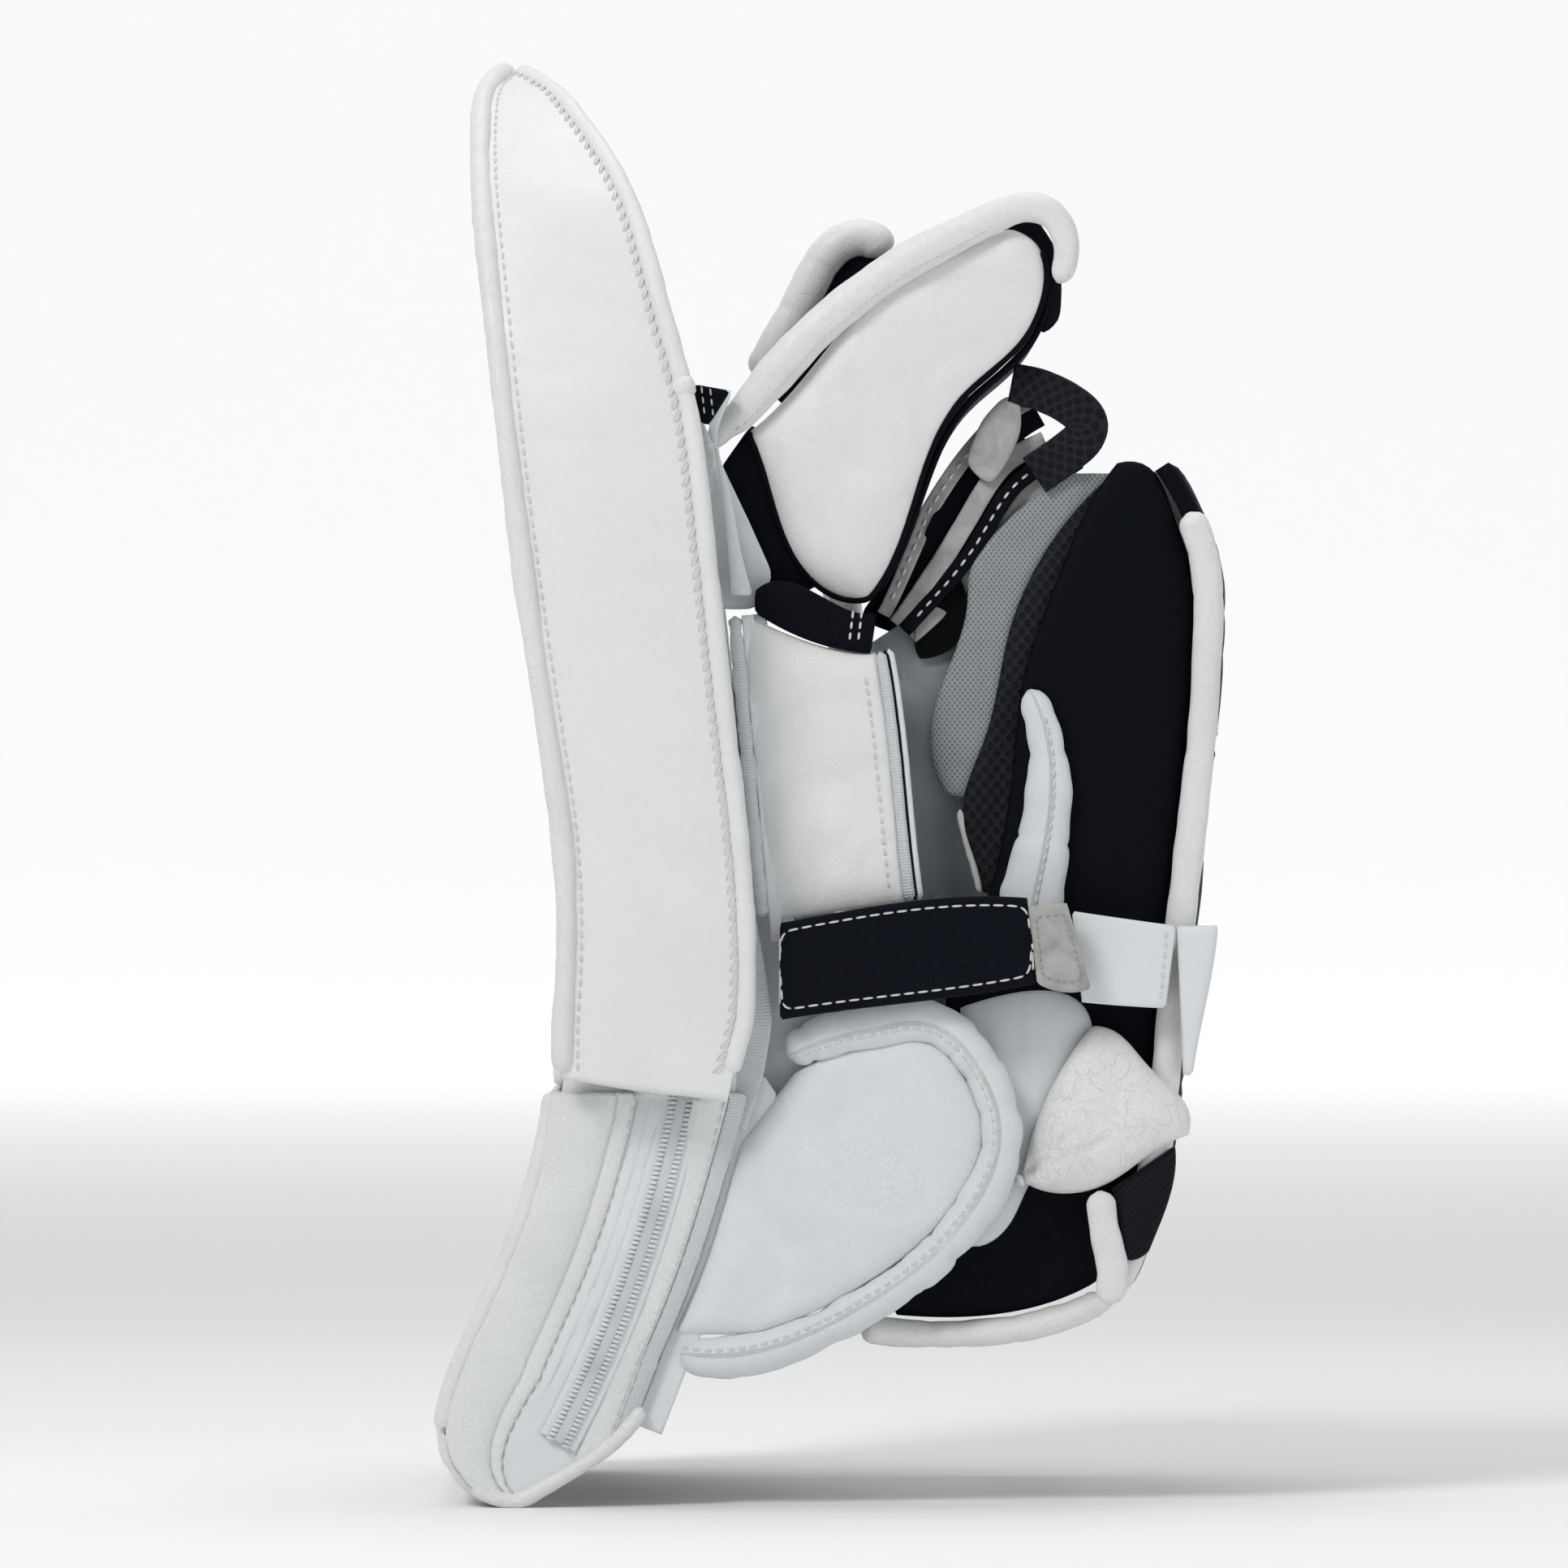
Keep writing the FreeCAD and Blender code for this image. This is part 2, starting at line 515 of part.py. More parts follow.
def make_hand_side():
    """Pieces of the fixed body round the hand: side panel, wrist pad and inner glove."""
    slab("side_panel", SIDE_PANEL, "Dims.panel_inner", "Dims.panel_thick")
    slab("side_panel_welt", strip(SIDE_PANEL_WELT, SIZES["welt_half"]),
         "Dims.panel_inner", "Dims.panel_thick")
    roll = strip(WRIST_PAD_PATH, WRIST_PAD_ROLL)
    slab("wrist_pad_roll", roll, "Dims.pad_inner", "Dims.pad_thick")
    pad_edge = offset_path(WRIST_PAD_PATH, -WRIST_PAD_ROLL - SIZES["pad_clearance"])
    cuff_side = shifted(CUFF_BACK[1:], SIZES["ribbon_clearance"])
    low, side = WRIST_PAD_LOW, WRIST_PAD_SIDE
    slab("wrist_pad",
         [pad_edge[:-1], [pad_edge[-2], low], [low, side], [side, cuff_side[1]],
          [cuff_side[1], pad_edge[0]]],
         "Dims.pad_inner", "Dims.pad_thick")
    slab("back_fabric", BACK_FABRIC, "Dims.panel_inner", "Dims.panel_thick")
    slab("twill_gusset", TWILL_GUSSET, "Dims.panel_inner", "Dims.panel_thick")
    slab("inner_palm", strip(INNER_PALM, SIZES["glove_half"]),
         "Dims.hand_near + Dims.hand_width", "Dims.hand_width")
    slab("inner_glove_back", strip(INNER_BACK, SIZES["glove_half"]),
         "Dims.hand_near + Dims.hand_width", "Dims.hand_width")
    slab("finger_stall_straps", strip(STALL_STRAP, SIZES["stall_half"]),
         "Dims.hand_near + Dims.stall_strap_width", "Dims.stall_strap_width")
    slab("far_cuff_gusset", FAR_GUSSET, "Dims.far_wall_inner - Dims.gusset_setback",
         "Dims.wall_thick")


def make_finger_guard():
    """The guard behind the fingers: two wings, a back and rolled edges."""
    guard_far = "Dims.guard_near + Dims.guard_width"
    slab("guard_near_wing", GUARD_WING, "Dims.guard_near", "Dims.guard_thick")
    slab("guard_far_wing", GUARD_WING, guard_far + " + Dims.guard_thick", "Dims.guard_thick")
    slab("guard_back_panel", strip(GUARD_BACK, SIZES["guard_half"]), guard_far, "Dims.guard_width")
    slab("guard_binding", strip(GUARD_ROLL, SIZES["roll_radius"]), "Dims.guard_near",
         "2 * Dims.roll_radius")
    slab("guard_far_binding", strip(GUARD_FAR_ROLL, SIZES["roll_radius"]),
         guard_far + " + Dims.guard_thick", "2 * Dims.roll_radius")
    slab("guard_lining", GUARD_LINING, "Dims.guard_near", "Dims.guard_thick")


def make_thumb_guard():
    """The smaller guard behind the thumb."""
    slab("thumb_guard_pad", strip(THUMB_GUARD, SIZES["thumb_guard_half"]),
         "Dims.thumb_guard_near + Dims.thumb_guard_width", "Dims.thumb_guard_width")
    slab("thumb_guard_binding", strip(THUMB_GUARD, SIZES["thumb_roll_half"]),
         "Dims.thumb_guard_near + Dims.thumb_guard_width + 2 * Dims.roll_radius",
         "2 * Dims.roll_radius")


def make_back_shell():
    """The shell over the back of the hand and wrist, and what is sewn to it."""
    half = SIZES["board_thick"] / 2
    slab("shell_near_wall", SHELL_WALL, "Dims.wall_inner", "Dims.wall_thick")
    slab("shell_far_wall", SHELL_WALL, "Dims.far_wall_inner + Dims.wall_thick",
         "Dims.wall_thick")
    slab("shell_back_board", strip(BOARD_PATH, half), "Dims.far_wall_inner + Dims.wall_thick",
         "Dims.far_wall_inner - Dims.wall_inner + 2 * Dims.wall_thick")
    outer = "Dims.wall_inner - Dims.wall_thick"
    slab("shell_back_binding", strip(BOARD_PATH[1:], half + SIZES["back_roll_extra"]), outer,
         "Dims.wing_thick")
    slab("shell_bottom_binding", strip(BOTTOM_BINDING, SIZES["bottom_roll_half"]),
         outer + " + Dims.wing_thick", "2 * Dims.wing_thick")
    slab("spacer_mesh", SPACER_MESH, "Dims.wall_inner + Dims.mesh_thick", "Dims.mesh_thick")
    slab("knit_strip", KNIT_STRIP, "Dims.wall_inner + 2 * Dims.mesh_thick", "Dims.mesh_thick")
    slab("wrist_wing", WRIST_WING, outer, "Dims.wing_thick")
    slab("wing_roll", strip(WING_ROLL, SIZES["wing_roll_half"]), outer, "Dims.wing_thick")
    slab("leather_tab", LEATHER_TAB, outer + " - Dims.wing_thick", "Dims.tab_thick")
    slab("textured_back_panel", TEXTURED_PANEL, outer + " - Dims.wing_thick", "Dims.mesh_thick")
    slab("white_strap", WHITE_STRAP, outer + " - 2 * Dims.wing_thick", "Dims.strap_thick")
    slab("strap_keeper", STRAP_KEEPER, outer + " - Dims.wing_thick",
         "Dims.wing_thick + Dims.strap_thick")


def make_wrist_strap():
    """The closing strap over the wrist, with its pull tab."""
    slab("strap_webbing", STRAP_WEBBING, "Dims.strap_inner", "Dims.strap_thick")
    slab("strap_tab", STRAP_TAB, "Dims.strap_inner", "Dims.strap_thick + Dims.tab_extra")


def check_document():
    """Stop if any object failed or any sub-part is not a sound solid."""
    document.recompute()
    for item in document.Objects:
        if "Invalid" in item.State or "Error" in item.State:
            raise RuntimeError(f"{item.Label} failed: {item.State}")
    for piece in pieces:
        if piece.Shape.isNull() or not piece.Shape.isValid() or not piece.Shape.Solids:
            raise RuntimeError(f"{piece.Label} has no sound solid")


def write_parts():
    """Write each sub-part to its own file."""
    os.makedirs("parts", exist_ok=True)
    for piece in pieces:
        piece.Shape.exportStep(os.path.join("parts", piece.Label + ".step"))
        box = piece.Shape.BoundBox
        print(f"{piece.Label:24s} X {box.XMin:7.1f} {box.XMax:7.1f}  Y {box.YMin:7.1f} "
              f"{box.YMax:7.1f}  Z {box.ZMin:7.1f} {box.ZMax:7.1f}  {len(piece.Shape.Solids)}")


make_sheet()
make_palm()
make_cuff()
make_zip()
make_hand_side()
make_finger_guard()
make_thumb_guard()
make_back_shell()
make_wrist_strap()
check_document()
write_parts()
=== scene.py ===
import json
import math

import bpy
import numpy as np
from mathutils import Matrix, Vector
from mathutils.bvhtree import BVHTree
from mathutils.geometry import delaunay_2d_cdt


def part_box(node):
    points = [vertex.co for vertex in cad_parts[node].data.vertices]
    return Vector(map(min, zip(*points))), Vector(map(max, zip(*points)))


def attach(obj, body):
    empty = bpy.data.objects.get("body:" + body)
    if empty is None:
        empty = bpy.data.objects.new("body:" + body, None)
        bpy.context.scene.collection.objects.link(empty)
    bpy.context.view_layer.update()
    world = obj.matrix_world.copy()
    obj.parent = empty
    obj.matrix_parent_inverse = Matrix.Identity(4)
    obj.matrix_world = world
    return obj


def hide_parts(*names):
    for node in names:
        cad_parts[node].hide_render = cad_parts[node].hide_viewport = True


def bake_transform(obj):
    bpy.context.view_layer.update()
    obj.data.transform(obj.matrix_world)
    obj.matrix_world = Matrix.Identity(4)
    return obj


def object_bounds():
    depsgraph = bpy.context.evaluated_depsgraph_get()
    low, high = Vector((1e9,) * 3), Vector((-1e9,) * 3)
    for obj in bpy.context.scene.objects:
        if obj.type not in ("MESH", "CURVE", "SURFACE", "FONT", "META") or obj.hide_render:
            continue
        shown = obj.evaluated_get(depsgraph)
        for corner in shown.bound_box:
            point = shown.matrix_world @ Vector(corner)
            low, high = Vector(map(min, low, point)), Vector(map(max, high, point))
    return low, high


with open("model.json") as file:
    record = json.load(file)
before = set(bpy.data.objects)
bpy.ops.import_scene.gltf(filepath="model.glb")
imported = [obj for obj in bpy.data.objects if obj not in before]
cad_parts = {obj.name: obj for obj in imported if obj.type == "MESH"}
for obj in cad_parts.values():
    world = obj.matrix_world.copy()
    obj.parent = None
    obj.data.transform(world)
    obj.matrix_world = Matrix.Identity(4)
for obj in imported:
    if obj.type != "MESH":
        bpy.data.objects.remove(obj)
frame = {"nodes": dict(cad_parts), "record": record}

CAD_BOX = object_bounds()
NODES = frame["nodes"]
BODY_OF = {node: body for body, nodes in frame["record"]["behaviour"]["bodies"].items() for node in nodes}
MM = 0.001


# ------------------------------------------------------------ reading the frame

def cad_points(node):
    """Every vertex of a CAD node."""
    return np.array([v.co for v in NODES[node].data.vertices])


def node_loop(node, axis=1):
    """The outline of a flat-capped CAD node's lowest cap along an axis."""
    mesh = NODES[node].data
    points = cad_points(node)
    level = points[:, axis].min()
    first, second = [k for k in (0, 1, 2) if k != axis]
    keys = {index: (round(float(p[first]), 6), round(float(p[second]), 6)) for index, p in enumerate(points)
        if abs(p[axis] - level) < 1e-5}
    count = {}
    for polygon in mesh.polygons:
        corners = list(polygon.vertices)
        if all(corner in keys for corner in corners):
            for a, b in zip(corners, corners[1:] + corners[:1]):
                edge = frozenset((keys[a], keys[b]))
                if len(edge) == 2:
                    count[edge] = count.get(edge, 0) + 1
    links = {}
    for a, b in (edge for edge, number in count.items() if number == 1):
        links.setdefault(a, []).append(b)
        links.setdefault(b, []).append(a)
    start = min(links)
    loop, before, here = [start], None, start
    while True:
        following = [p for p in links[here] if p != before]
        if not following or following[0] == start:
            break
        before, here = here, following[0]
        loop.append(here)
    loop = np.array(loop)
    return loop if signed_area(loop) > 0 else loop[::-1]


def signed_area(loop):
    """Area of a closed 2-D loop, positive when it runs anticlockwise."""
    after = np.roll(loop, -1, axis=0)
    return 0.5 * float(np.sum(loop[:, 0] * after[:, 1] - loop[:, 1] * after[:, 0]))


def resample(path, spacing, closed=False):
    """The path with points at an even spacing."""
    path = np.asarray(path, float)
    if closed:
        path = np.vstack([path, path[:1]])
    along = lengths(path)
    number = max(int(round(along[-1] / spacing)), 3)
    wanted = np.linspace(0, along[-1], number + 1)
    if closed:
        wanted = wanted[:-1]
    return np.stack([np.interp(wanted, along, path[:, k]) for k in range(path.shape[1])], 1)


def smooth(path, rounds=2, closed=False):
    """The path with its corners eased, its ends kept."""
    path = np.array(path, float)
    for _ in range(rounds):
        before = np.roll(path, 1, axis=0)
        after = np.roll(path, -1, axis=0)
        eased = 0.25 * before + 0.5 * path + 0.25 * after
        if not closed:
            eased[0], eased[-1] = path[0], path[-1]
        path = eased
    return path


def loop_sides(node):
    """The two long sides of a strip-shaped node's outline, running the same way."""
    loop = resample(node_loop(node), 0.5 * MM, closed=True)
    reach = 5
    ahead = np.roll(loop, -reach, axis=0) - loop
    behind = loop - np.roll(loop, reach, axis=0)
    turn = np.abs(np.arctan2(behind[:, 0] * ahead[:, 1] - behind[:, 1] * ahead[:, 0], np.sum(ahead * behind,
        1)))
    corners = []
    for index in np.argsort(-turn):
        gaps = [min((index - c) % len(loop), (c - index) % len(loop)) for c in corners]
        if all(gap > reach for gap in gaps):
            corners.append(int(index))
        if len(corners) == 4:
            break
    corners.sort()
    runs = []
    for a, b in zip(corners, corners[1:] + [corners[0] + len(loop)]):
        runs.append(loop[np.arange(a, b + 1) % len(loop)])
    long = [np.linalg.norm(np.diff(run, axis=0), axis=1).sum() for run in runs]
    first = 0 if long[0] + long[2] > long[1] + long[3] else 1
    return runs[first], runs[first + 2][::-1]


def strip_line(node, spacing=2 * MM):
    """Centre line (x, z) of a strip-shaped node, and its mean half width."""
    one, other = loop_sides(node)
    number = max(int(lengths(one)[-1] / spacing), 4)
    one = resample(one, lengths(one)[-1] / number)
    other = resample(other, lengths(other)[-1] / number)
    middle = (one + other) / 2
    return smooth(middle, 3), float(np.mean(np.linalg.norm(one - other, axis=1))) / 2


def tree_of(*names):
    """A ray-casting tree of CAD nodes or of finished pieces."""
    points, faces = [], []
    for name in names:
        mesh = NODES[name].data if name in NODES else bpy.data.objects[name].data
        base = len(points)
        points += [v.co.copy() for v in mesh.vertices]
        faces += [[base + c for c in polygon.vertices] for polygon in mesh.polygons]
    return BVHTree.FromPolygons(points, faces)


# ------------------------------------------------------------ smooth noise

def lattice(shape_seed, cells):
    """Random values on a wrapped lattice, always the same for a seed."""
    return np.random.default_rng(shape_seed).uniform(-1, 1, (cells, cells))


def ripple(u, v, size, seed, stretch=1.0):
    """Smooth noise between -1 and 1 over a surface, with features about size across."""
    cells = 64
    table = lattice(seed, cells)
    a, b = np.asarray(u) / size, np.asarray(v) / (size * stretch)
    ia, ib = np.floor(a).astype(int), np.floor(b).astype(int)
    fa, fb = a - ia, b - ib
    fa, fb = fa * fa * (3 - 2 * fa), fb * fb * (3 - 2 * fb)
    def at(da, db):
        return table[(ia + da) % cells, (ib + db) % cells]
    low = at(0, 0) * (1 - fa) + at(1, 0) * fa
    high = at(0, 1) * (1 - fa) + at(1, 1) * fa
    return low * (1 - fb) + high * fb


def creases(u, v, size, seed, stretch=1.0):
    """Sharp valleys between soft swells: 0 on a swell, 1 along a crease line."""
    return (1 - np.abs(ripple(u, v, size, seed, stretch))) ** 6


def along_line(points, line):
    """Distance of 2-D points to a polyline."""
    points, line = np.asarray(points, float), np.asarray(line, float)
    best = np.full(len(points), 1e9)
    for a, b in zip(line, line[1:]):
        run = b - a
        share = np.clip(((points - a) @ run) / max(run @ run, 1e-18), 0, 1)
        best = np.minimum(best, np.linalg.norm(points - a - share[:, None] * run, axis=1))
    return best


def groove(u, v, line, depth, width):
    """A sewn channel along a polyline."""
    near = along_line(np.stack([u, v], 1), line)
    return -depth * np.exp(-(near / width) ** 2)


# ------------------------------------------------------------ mesh builders

def near_side(u, v, w):
    """Places a flat pattern on the little-finger side: u along X, v up, w outwards."""
    return np.stack([u, -w, v], 1)


def add_mesh(name, points, faces, uvs, material):
    """A smooth-shaded object from arrays, with one UV per vertex."""
    mesh = bpy.data.meshes.new(name)
    mesh.from_pydata([tuple(p) for p in points], [], [tuple(f) for f in faces])
    layer = mesh.uv_layers.new(name="UVMap")
    corners = np.zeros(len(mesh.loops), int)
    mesh.loops.foreach_get("vertex_index", corners)
    layer.data.foreach_set("uv", np.asarray(uvs, np.float32)[corners].ravel())
    mesh.polygons.foreach_set("use_smooth", [True] * len(mesh.polygons))
    mesh.validate()
    piece = bpy.data.objects.new(name, mesh)
    bpy.context.scene.collection.objects.link(piece)
    mesh.materials.append(material)
    return piece


def inside(points, loop):
    """Which 2-D points lie inside a closed loop."""
    x, y = points[:, 0], points[:, 1]
    result = np.zeros(len(points), bool)
    for (ax, ay), (bx, by) in zip(loop, np.roll(loop, -1, axis=0)):
        crosses = (ay > y) != (by > y)
        if ay != by:
            result ^= crosses & (x < (bx - ax) * (y - ay) / (by - ay) + ax)
    return result


def closed(loop):
    """The loop with its first point repeated at the end."""
    return np.vstack([loop, loop[:1]])


def pillow(name, loop, top, bottom, material, spacing=2 * MM, rim=3 * MM, place=near_side):
    """A closed padded form over a 2-D outline.

    top and bottom give the height over the pattern from (u, v, distance to the edge)."""
    outline = resample(loop, spacing, closed=True)
    if signed_area(outline) < 0:
        outline = outline[::-1]
    run = np.roll(outline, -1, axis=0) - np.roll(outline, 1, axis=0)
    inward = np.stack([-run[:, 1], run[:, 0]], 1) / np.linalg.norm(run, axis=1)[:, None]
    cloud = [outline]
    for share in (0.07, 0.25, 0.55, 1.0):
        ring = outline + inward * share * rim
        clear = along_line(ring, closed(outline)) > 0.9 * share * rim
        cloud.append(ring[clear & inside(ring, outline)])
    low, high = outline.min(0), outline.max(0)
    columns = np.arange(low[0], high[0], spacing)
    rows = np.arange(low[1], high[1], spacing * 0.87)
    lattice_x, lattice_y = np.meshgrid(columns, rows)
    lattice_x = lattice_x + (np.arange(len(rows)) % 2)[:, None] * spacing / 2
    grid = np.stack([lattice_x.ravel(), lattice_y.ravel()], 1)
    grid = grid[inside(grid, outline)]
    grid = grid[along_line(grid, closed(outline)) > rim + 0.4 * spacing]
    cloud.append(grid)
    cloud = np.vstack(cloud)
    number = len(outline)
    flat, _, faces, _, _, _ = delaunay_2d_cdt([Vector(p) for p in cloud], [(k, (k + 1) % number) for k in
        range(number)], [list(range(number))], 1, 1e-7)
    flat = np.array(flat)
    faces = [face if signed_area(flat[list(face)]) > 0 else face[::-1] for face in faces]
    u, v = flat[:, 0], flat[:, 1]
    depth = along_line(flat, closed(outline))
    depth[depth < 1e-6] = 0
    upper, lower = top(u, v, depth), bottom(u, v, depth)
    count = {}
    for face in faces:
        for a, b in zip(face, list(face[1:]) + [face[0]]):
            count[(a, b)] = True
    border = [(a, b) for a, b in count if (b, a) not in count]
    below = np.arange(len(flat)) + len(flat)
    welded = np.zeros(len(flat), bool)
    for a, _ in border:
        welded[a] = abs(upper[a] - lower[a]) < 1e-6
    below[welded] = np.flatnonzero(welded)
    everything = [tuple(face) for face in faces]
    everything += [tuple(below[list(face)[::-1]]) for face in faces]
    for a, b in border:
        wall = [b, a, below[a], below[b]]
        kept = [c for k, c in enumerate(wall) if c != wall[k - 1]]
        if len(kept) > 2:
            everything.append(tuple(kept))
    points = np.vstack([place(u, v, upper), place(u, v, lower)])
    used = np.zeros(len(points), bool)
    for face in everything:
        used[list(face)] = True
    index = np.cumsum(used) - 1
    everything = [tuple(int(index[c]) for c in face) for face in everything]
    uvs = np.vstack([flat, flat])[used]
    return add_mesh(name, points[used], everything, uvs, material)


def rounded(share):
    """Rises from 0 to 1 along a quarter circle as share goes from 0 to 1."""
    return np.sqrt(np.clip(1 - (1 - np.clip(share, 0, 1)) ** 2, 0, 1))


def level(value):
    """Height rule of a flat face."""
    return lambda u, v, d: np.full(len(u), float(value))


def grid_solid(name, upper, lower, uvs, material):
    """A closed solid between two grids of points (rows, columns, 3)."""
    rows, columns = upper.shape[:2]
    number = rows * columns
    faces = []
    for i in range(rows - 1):
        for j in range(columns - 1):
            a, b = i * columns + j, i * columns + j + 1
            c, d = a + columns, b + columns
            faces.append((a, c, d, b))
            faces.append((a + number, b + number, d + number, c + number))
    rim = [(0, j) for j in range(columns)] + [(i, columns - 1) for i in range(1, rows)]
    rim += [(rows - 1, j) for j in range(columns - 2, -1, -1)]
    rim += [(i, 0) for i in range(rows - 2, 0, -1)]
    rim = [i * columns + j for i, j in rim]
    for a, b in zip(rim, rim[1:] + rim[:1]):
        faces.append((a, b, b + number, a + number))
    points = np.vstack([upper.reshape(-1, 3), lower.reshape(-1, 3)])
    flat = np.asarray(uvs).reshape(-1, 2)
    return add_mesh(name, points, faces, np.vstack([flat, flat]), material)


def directions(path):
    """Unit tangents of a 3-D path."""
    run = np.gradient(path, axis=0)
    return run / np.maximum(np.linalg.norm(run, axis=1), 1e-12)[:, None]


def frames(path, out):
    """Tangent, outward and sideways unit vectors along a path, for a rough outward."""
    tangent = directions(path)
    out = np.broadcast_to(np.asarray(out, float), path.shape)
    outward = out - np.sum(out * tangent, 1)[:, None] * tangent
    outward = outward / np.maximum(np.linalg.norm(outward, axis=1), 1e-9)[:, None]
    return tangent, outward, np.cross(tangent, outward)


def lengths(path):
    """Distance along a path at each point."""
    return np.concatenate([[0.0], np.cumsum(np.linalg.norm(np.diff(path, axis=0), axis=1))])


def ring_faces(base, rings, sides):
    """The faces of a closed roll of rings of points, the first of them numbered base."""
    faces = []
    for i in range(rings - 1):
        for j in range(sides):
            a, b = base + i * sides + j, base + i * sides + (j + 1) % sides
            faces.append((a, b, b + sides, a + sides))
    last = base + (rings - 1) * sides
    faces.append(tuple(range(base, base + sides))[::-1])
    faces.append(tuple(range(last, last + sides)))
    return faces


def tube(name, path, radius, material, out=(0, -1, 0), sides=16, flat=1.0, wrinkle=0.0, fold=4 * MM, seed=1,
        taper=1.0):
    """A soft roll along a path, with pinched round ends and wrinkles round it."""
    path = np.asarray(path, float)
    _, outward, side = frames(path, out)
    along = lengths(path)
    wide = np.broadcast_to(np.asarray(radius, float), (len(path),)).copy()
    reach = float(wide.mean()) * taper
    ends = np.minimum(along, along[-1] - along)
    share = np.clip(ends / max(reach, 1e-9), 0, 1)
    wide = wide * np.sqrt(np.clip(1 - (1 - share) ** 2, 0.02, 1))
    turn = np.linspace(0, 2 * math.pi, sides, endpoint=False)
    s, t = np.meshgrid(along, turn, indexing="ij")
    ring = wide[:, None] * np.ones_like(t)
    if wrinkle:
        round_noise = ripple(s, np.sin(t) * 5 * MM + 1, fold, seed, 2.5)
        fine = ripple(s, np.cos(t) * 5 * MM + 1, fold * 0.45, seed + 7, 2.0)
        ring = ring * (1 + wrinkle * (round_noise + 0.5 * fine) - wrinkle * creases(s, np.cos(t) * 6 * MM +
            2, fold * 1.3, seed + 3, 3.0))
    points = (path[:, None] + outward[:, None] * (np.cos(t) * ring * flat)[..., None] + side[:, None] *
        (np.sin(t) * ring)[..., None])
    faces = ring_faces(0, len(path), sides)
    uvs = np.stack([s, t * wide.mean()], -1).reshape(-1, 2)
    return add_mesh(name, points.reshape(-1, 3), faces, uvs, material)


def ribbon(name, path, width, thick, material, out=(0, -1, 0), columns=13, edge=0.6 * MM, lift=None):
    """A strap or tape along a path: flat, with rounded edges, and a lift rule (s, t)."""
    path = np.asarray(path, float)
    _, outward, side = frames(path, out)
    along = lengths(path)
    across = np.linspace(-1, 1, columns)
    across = np.sign(across) * (1 - (1 - np.abs(across)) ** 1.5)
    half = np.broadcast_to(np.asarray(width, float), (len(path),)) / 2
    s, t = np.meshgrid(along, across, indexing="ij")
    offset = t * half[:, None]
    inset_edge = np.clip((half[:, None] - np.abs(offset)) / edge, 0, 1)
    skin = thick / 2 * (0.35 + 0.65 * np.sqrt(1 - (1 - inset_edge) ** 2))
    rise = lift(s, offset) if lift else 0 * s
    base = path[:, None] + side[:, None] * offset[..., None]
    upper = base + outward[:, None] * (rise + skin)[..., None]
    lower = base + outward[:, None] * (rise - skin)[..., None]
    return grid_solid(name, upper, lower, np.stack([s, offset], -1), material)


def stitches(name, path, material, out=(0, -1, 0), length=2.6 * MM, gap=1.0 * MM, thick=0.38 * MM, on=None,
        slant=0.0, sides=6):
    """Sewn stitches along a path, laid on a surface if one is given."""
    path = np.asarray(path, float)
    along = lengths(path)
    out_all = np.broadcast_to(np.asarray(out, float), path.shape)
    _, _, side_all = frames(path, out_all)
    starts = np.arange(0.3 * gap, along[-1] - length, length + gap)
    shares = np.array([0.0, 0.22, 0.5, 0.78, 1.0])
    swell = np.array([0.45, 0.95, 1.0, 0.95, 0.45])
    rise = np.array([-0.5, 0.35, 0.7, 0.35, -0.5])
    turn = np.linspace(0, 2 * math.pi, sides, endpoint=False)
    points, faces, uvs = [], [], []
    for start in starts:
        where = start + shares * length
        spot = np.stack([np.interp(where, along, path[:, k]) for k in range(3)], 1)
        away = np.stack([np.interp(where, along, out_all[:, k]) for k in range(3)], 1)
        sideways = np.stack([np.interp(where, along, side_all[:, k]) for k in range(3)], 1)
        spot = spot + sideways * ((shares - 0.5) * slant)[:, None]
        if on is not None:
            for k in range(len(spot)):
                direction = Vector(away[k]).normalized()
                hit = on.ray_cast(Vector(spot[k]) + direction * 0.03, -direction, 0.06)[0]
                if hit is not None:
                    spot[k] = hit
        spot = spot + away * (rise * thick)[:, None]
        _, outward, side = frames(spot, away)
        base = len(points)
        for k in range(len(shares)):
            for angle in turn:
                points.append(spot[k] + thick * swell[k] * (math.cos(angle) * outward[k] + math.sin(angle) *
                    side[k]))
                uvs.append((where[k], angle * thick))
        faces += ring_faces(base, len(shares), sides)
    return add_mesh(name, np.array(points), faces, np.array(uvs), material)


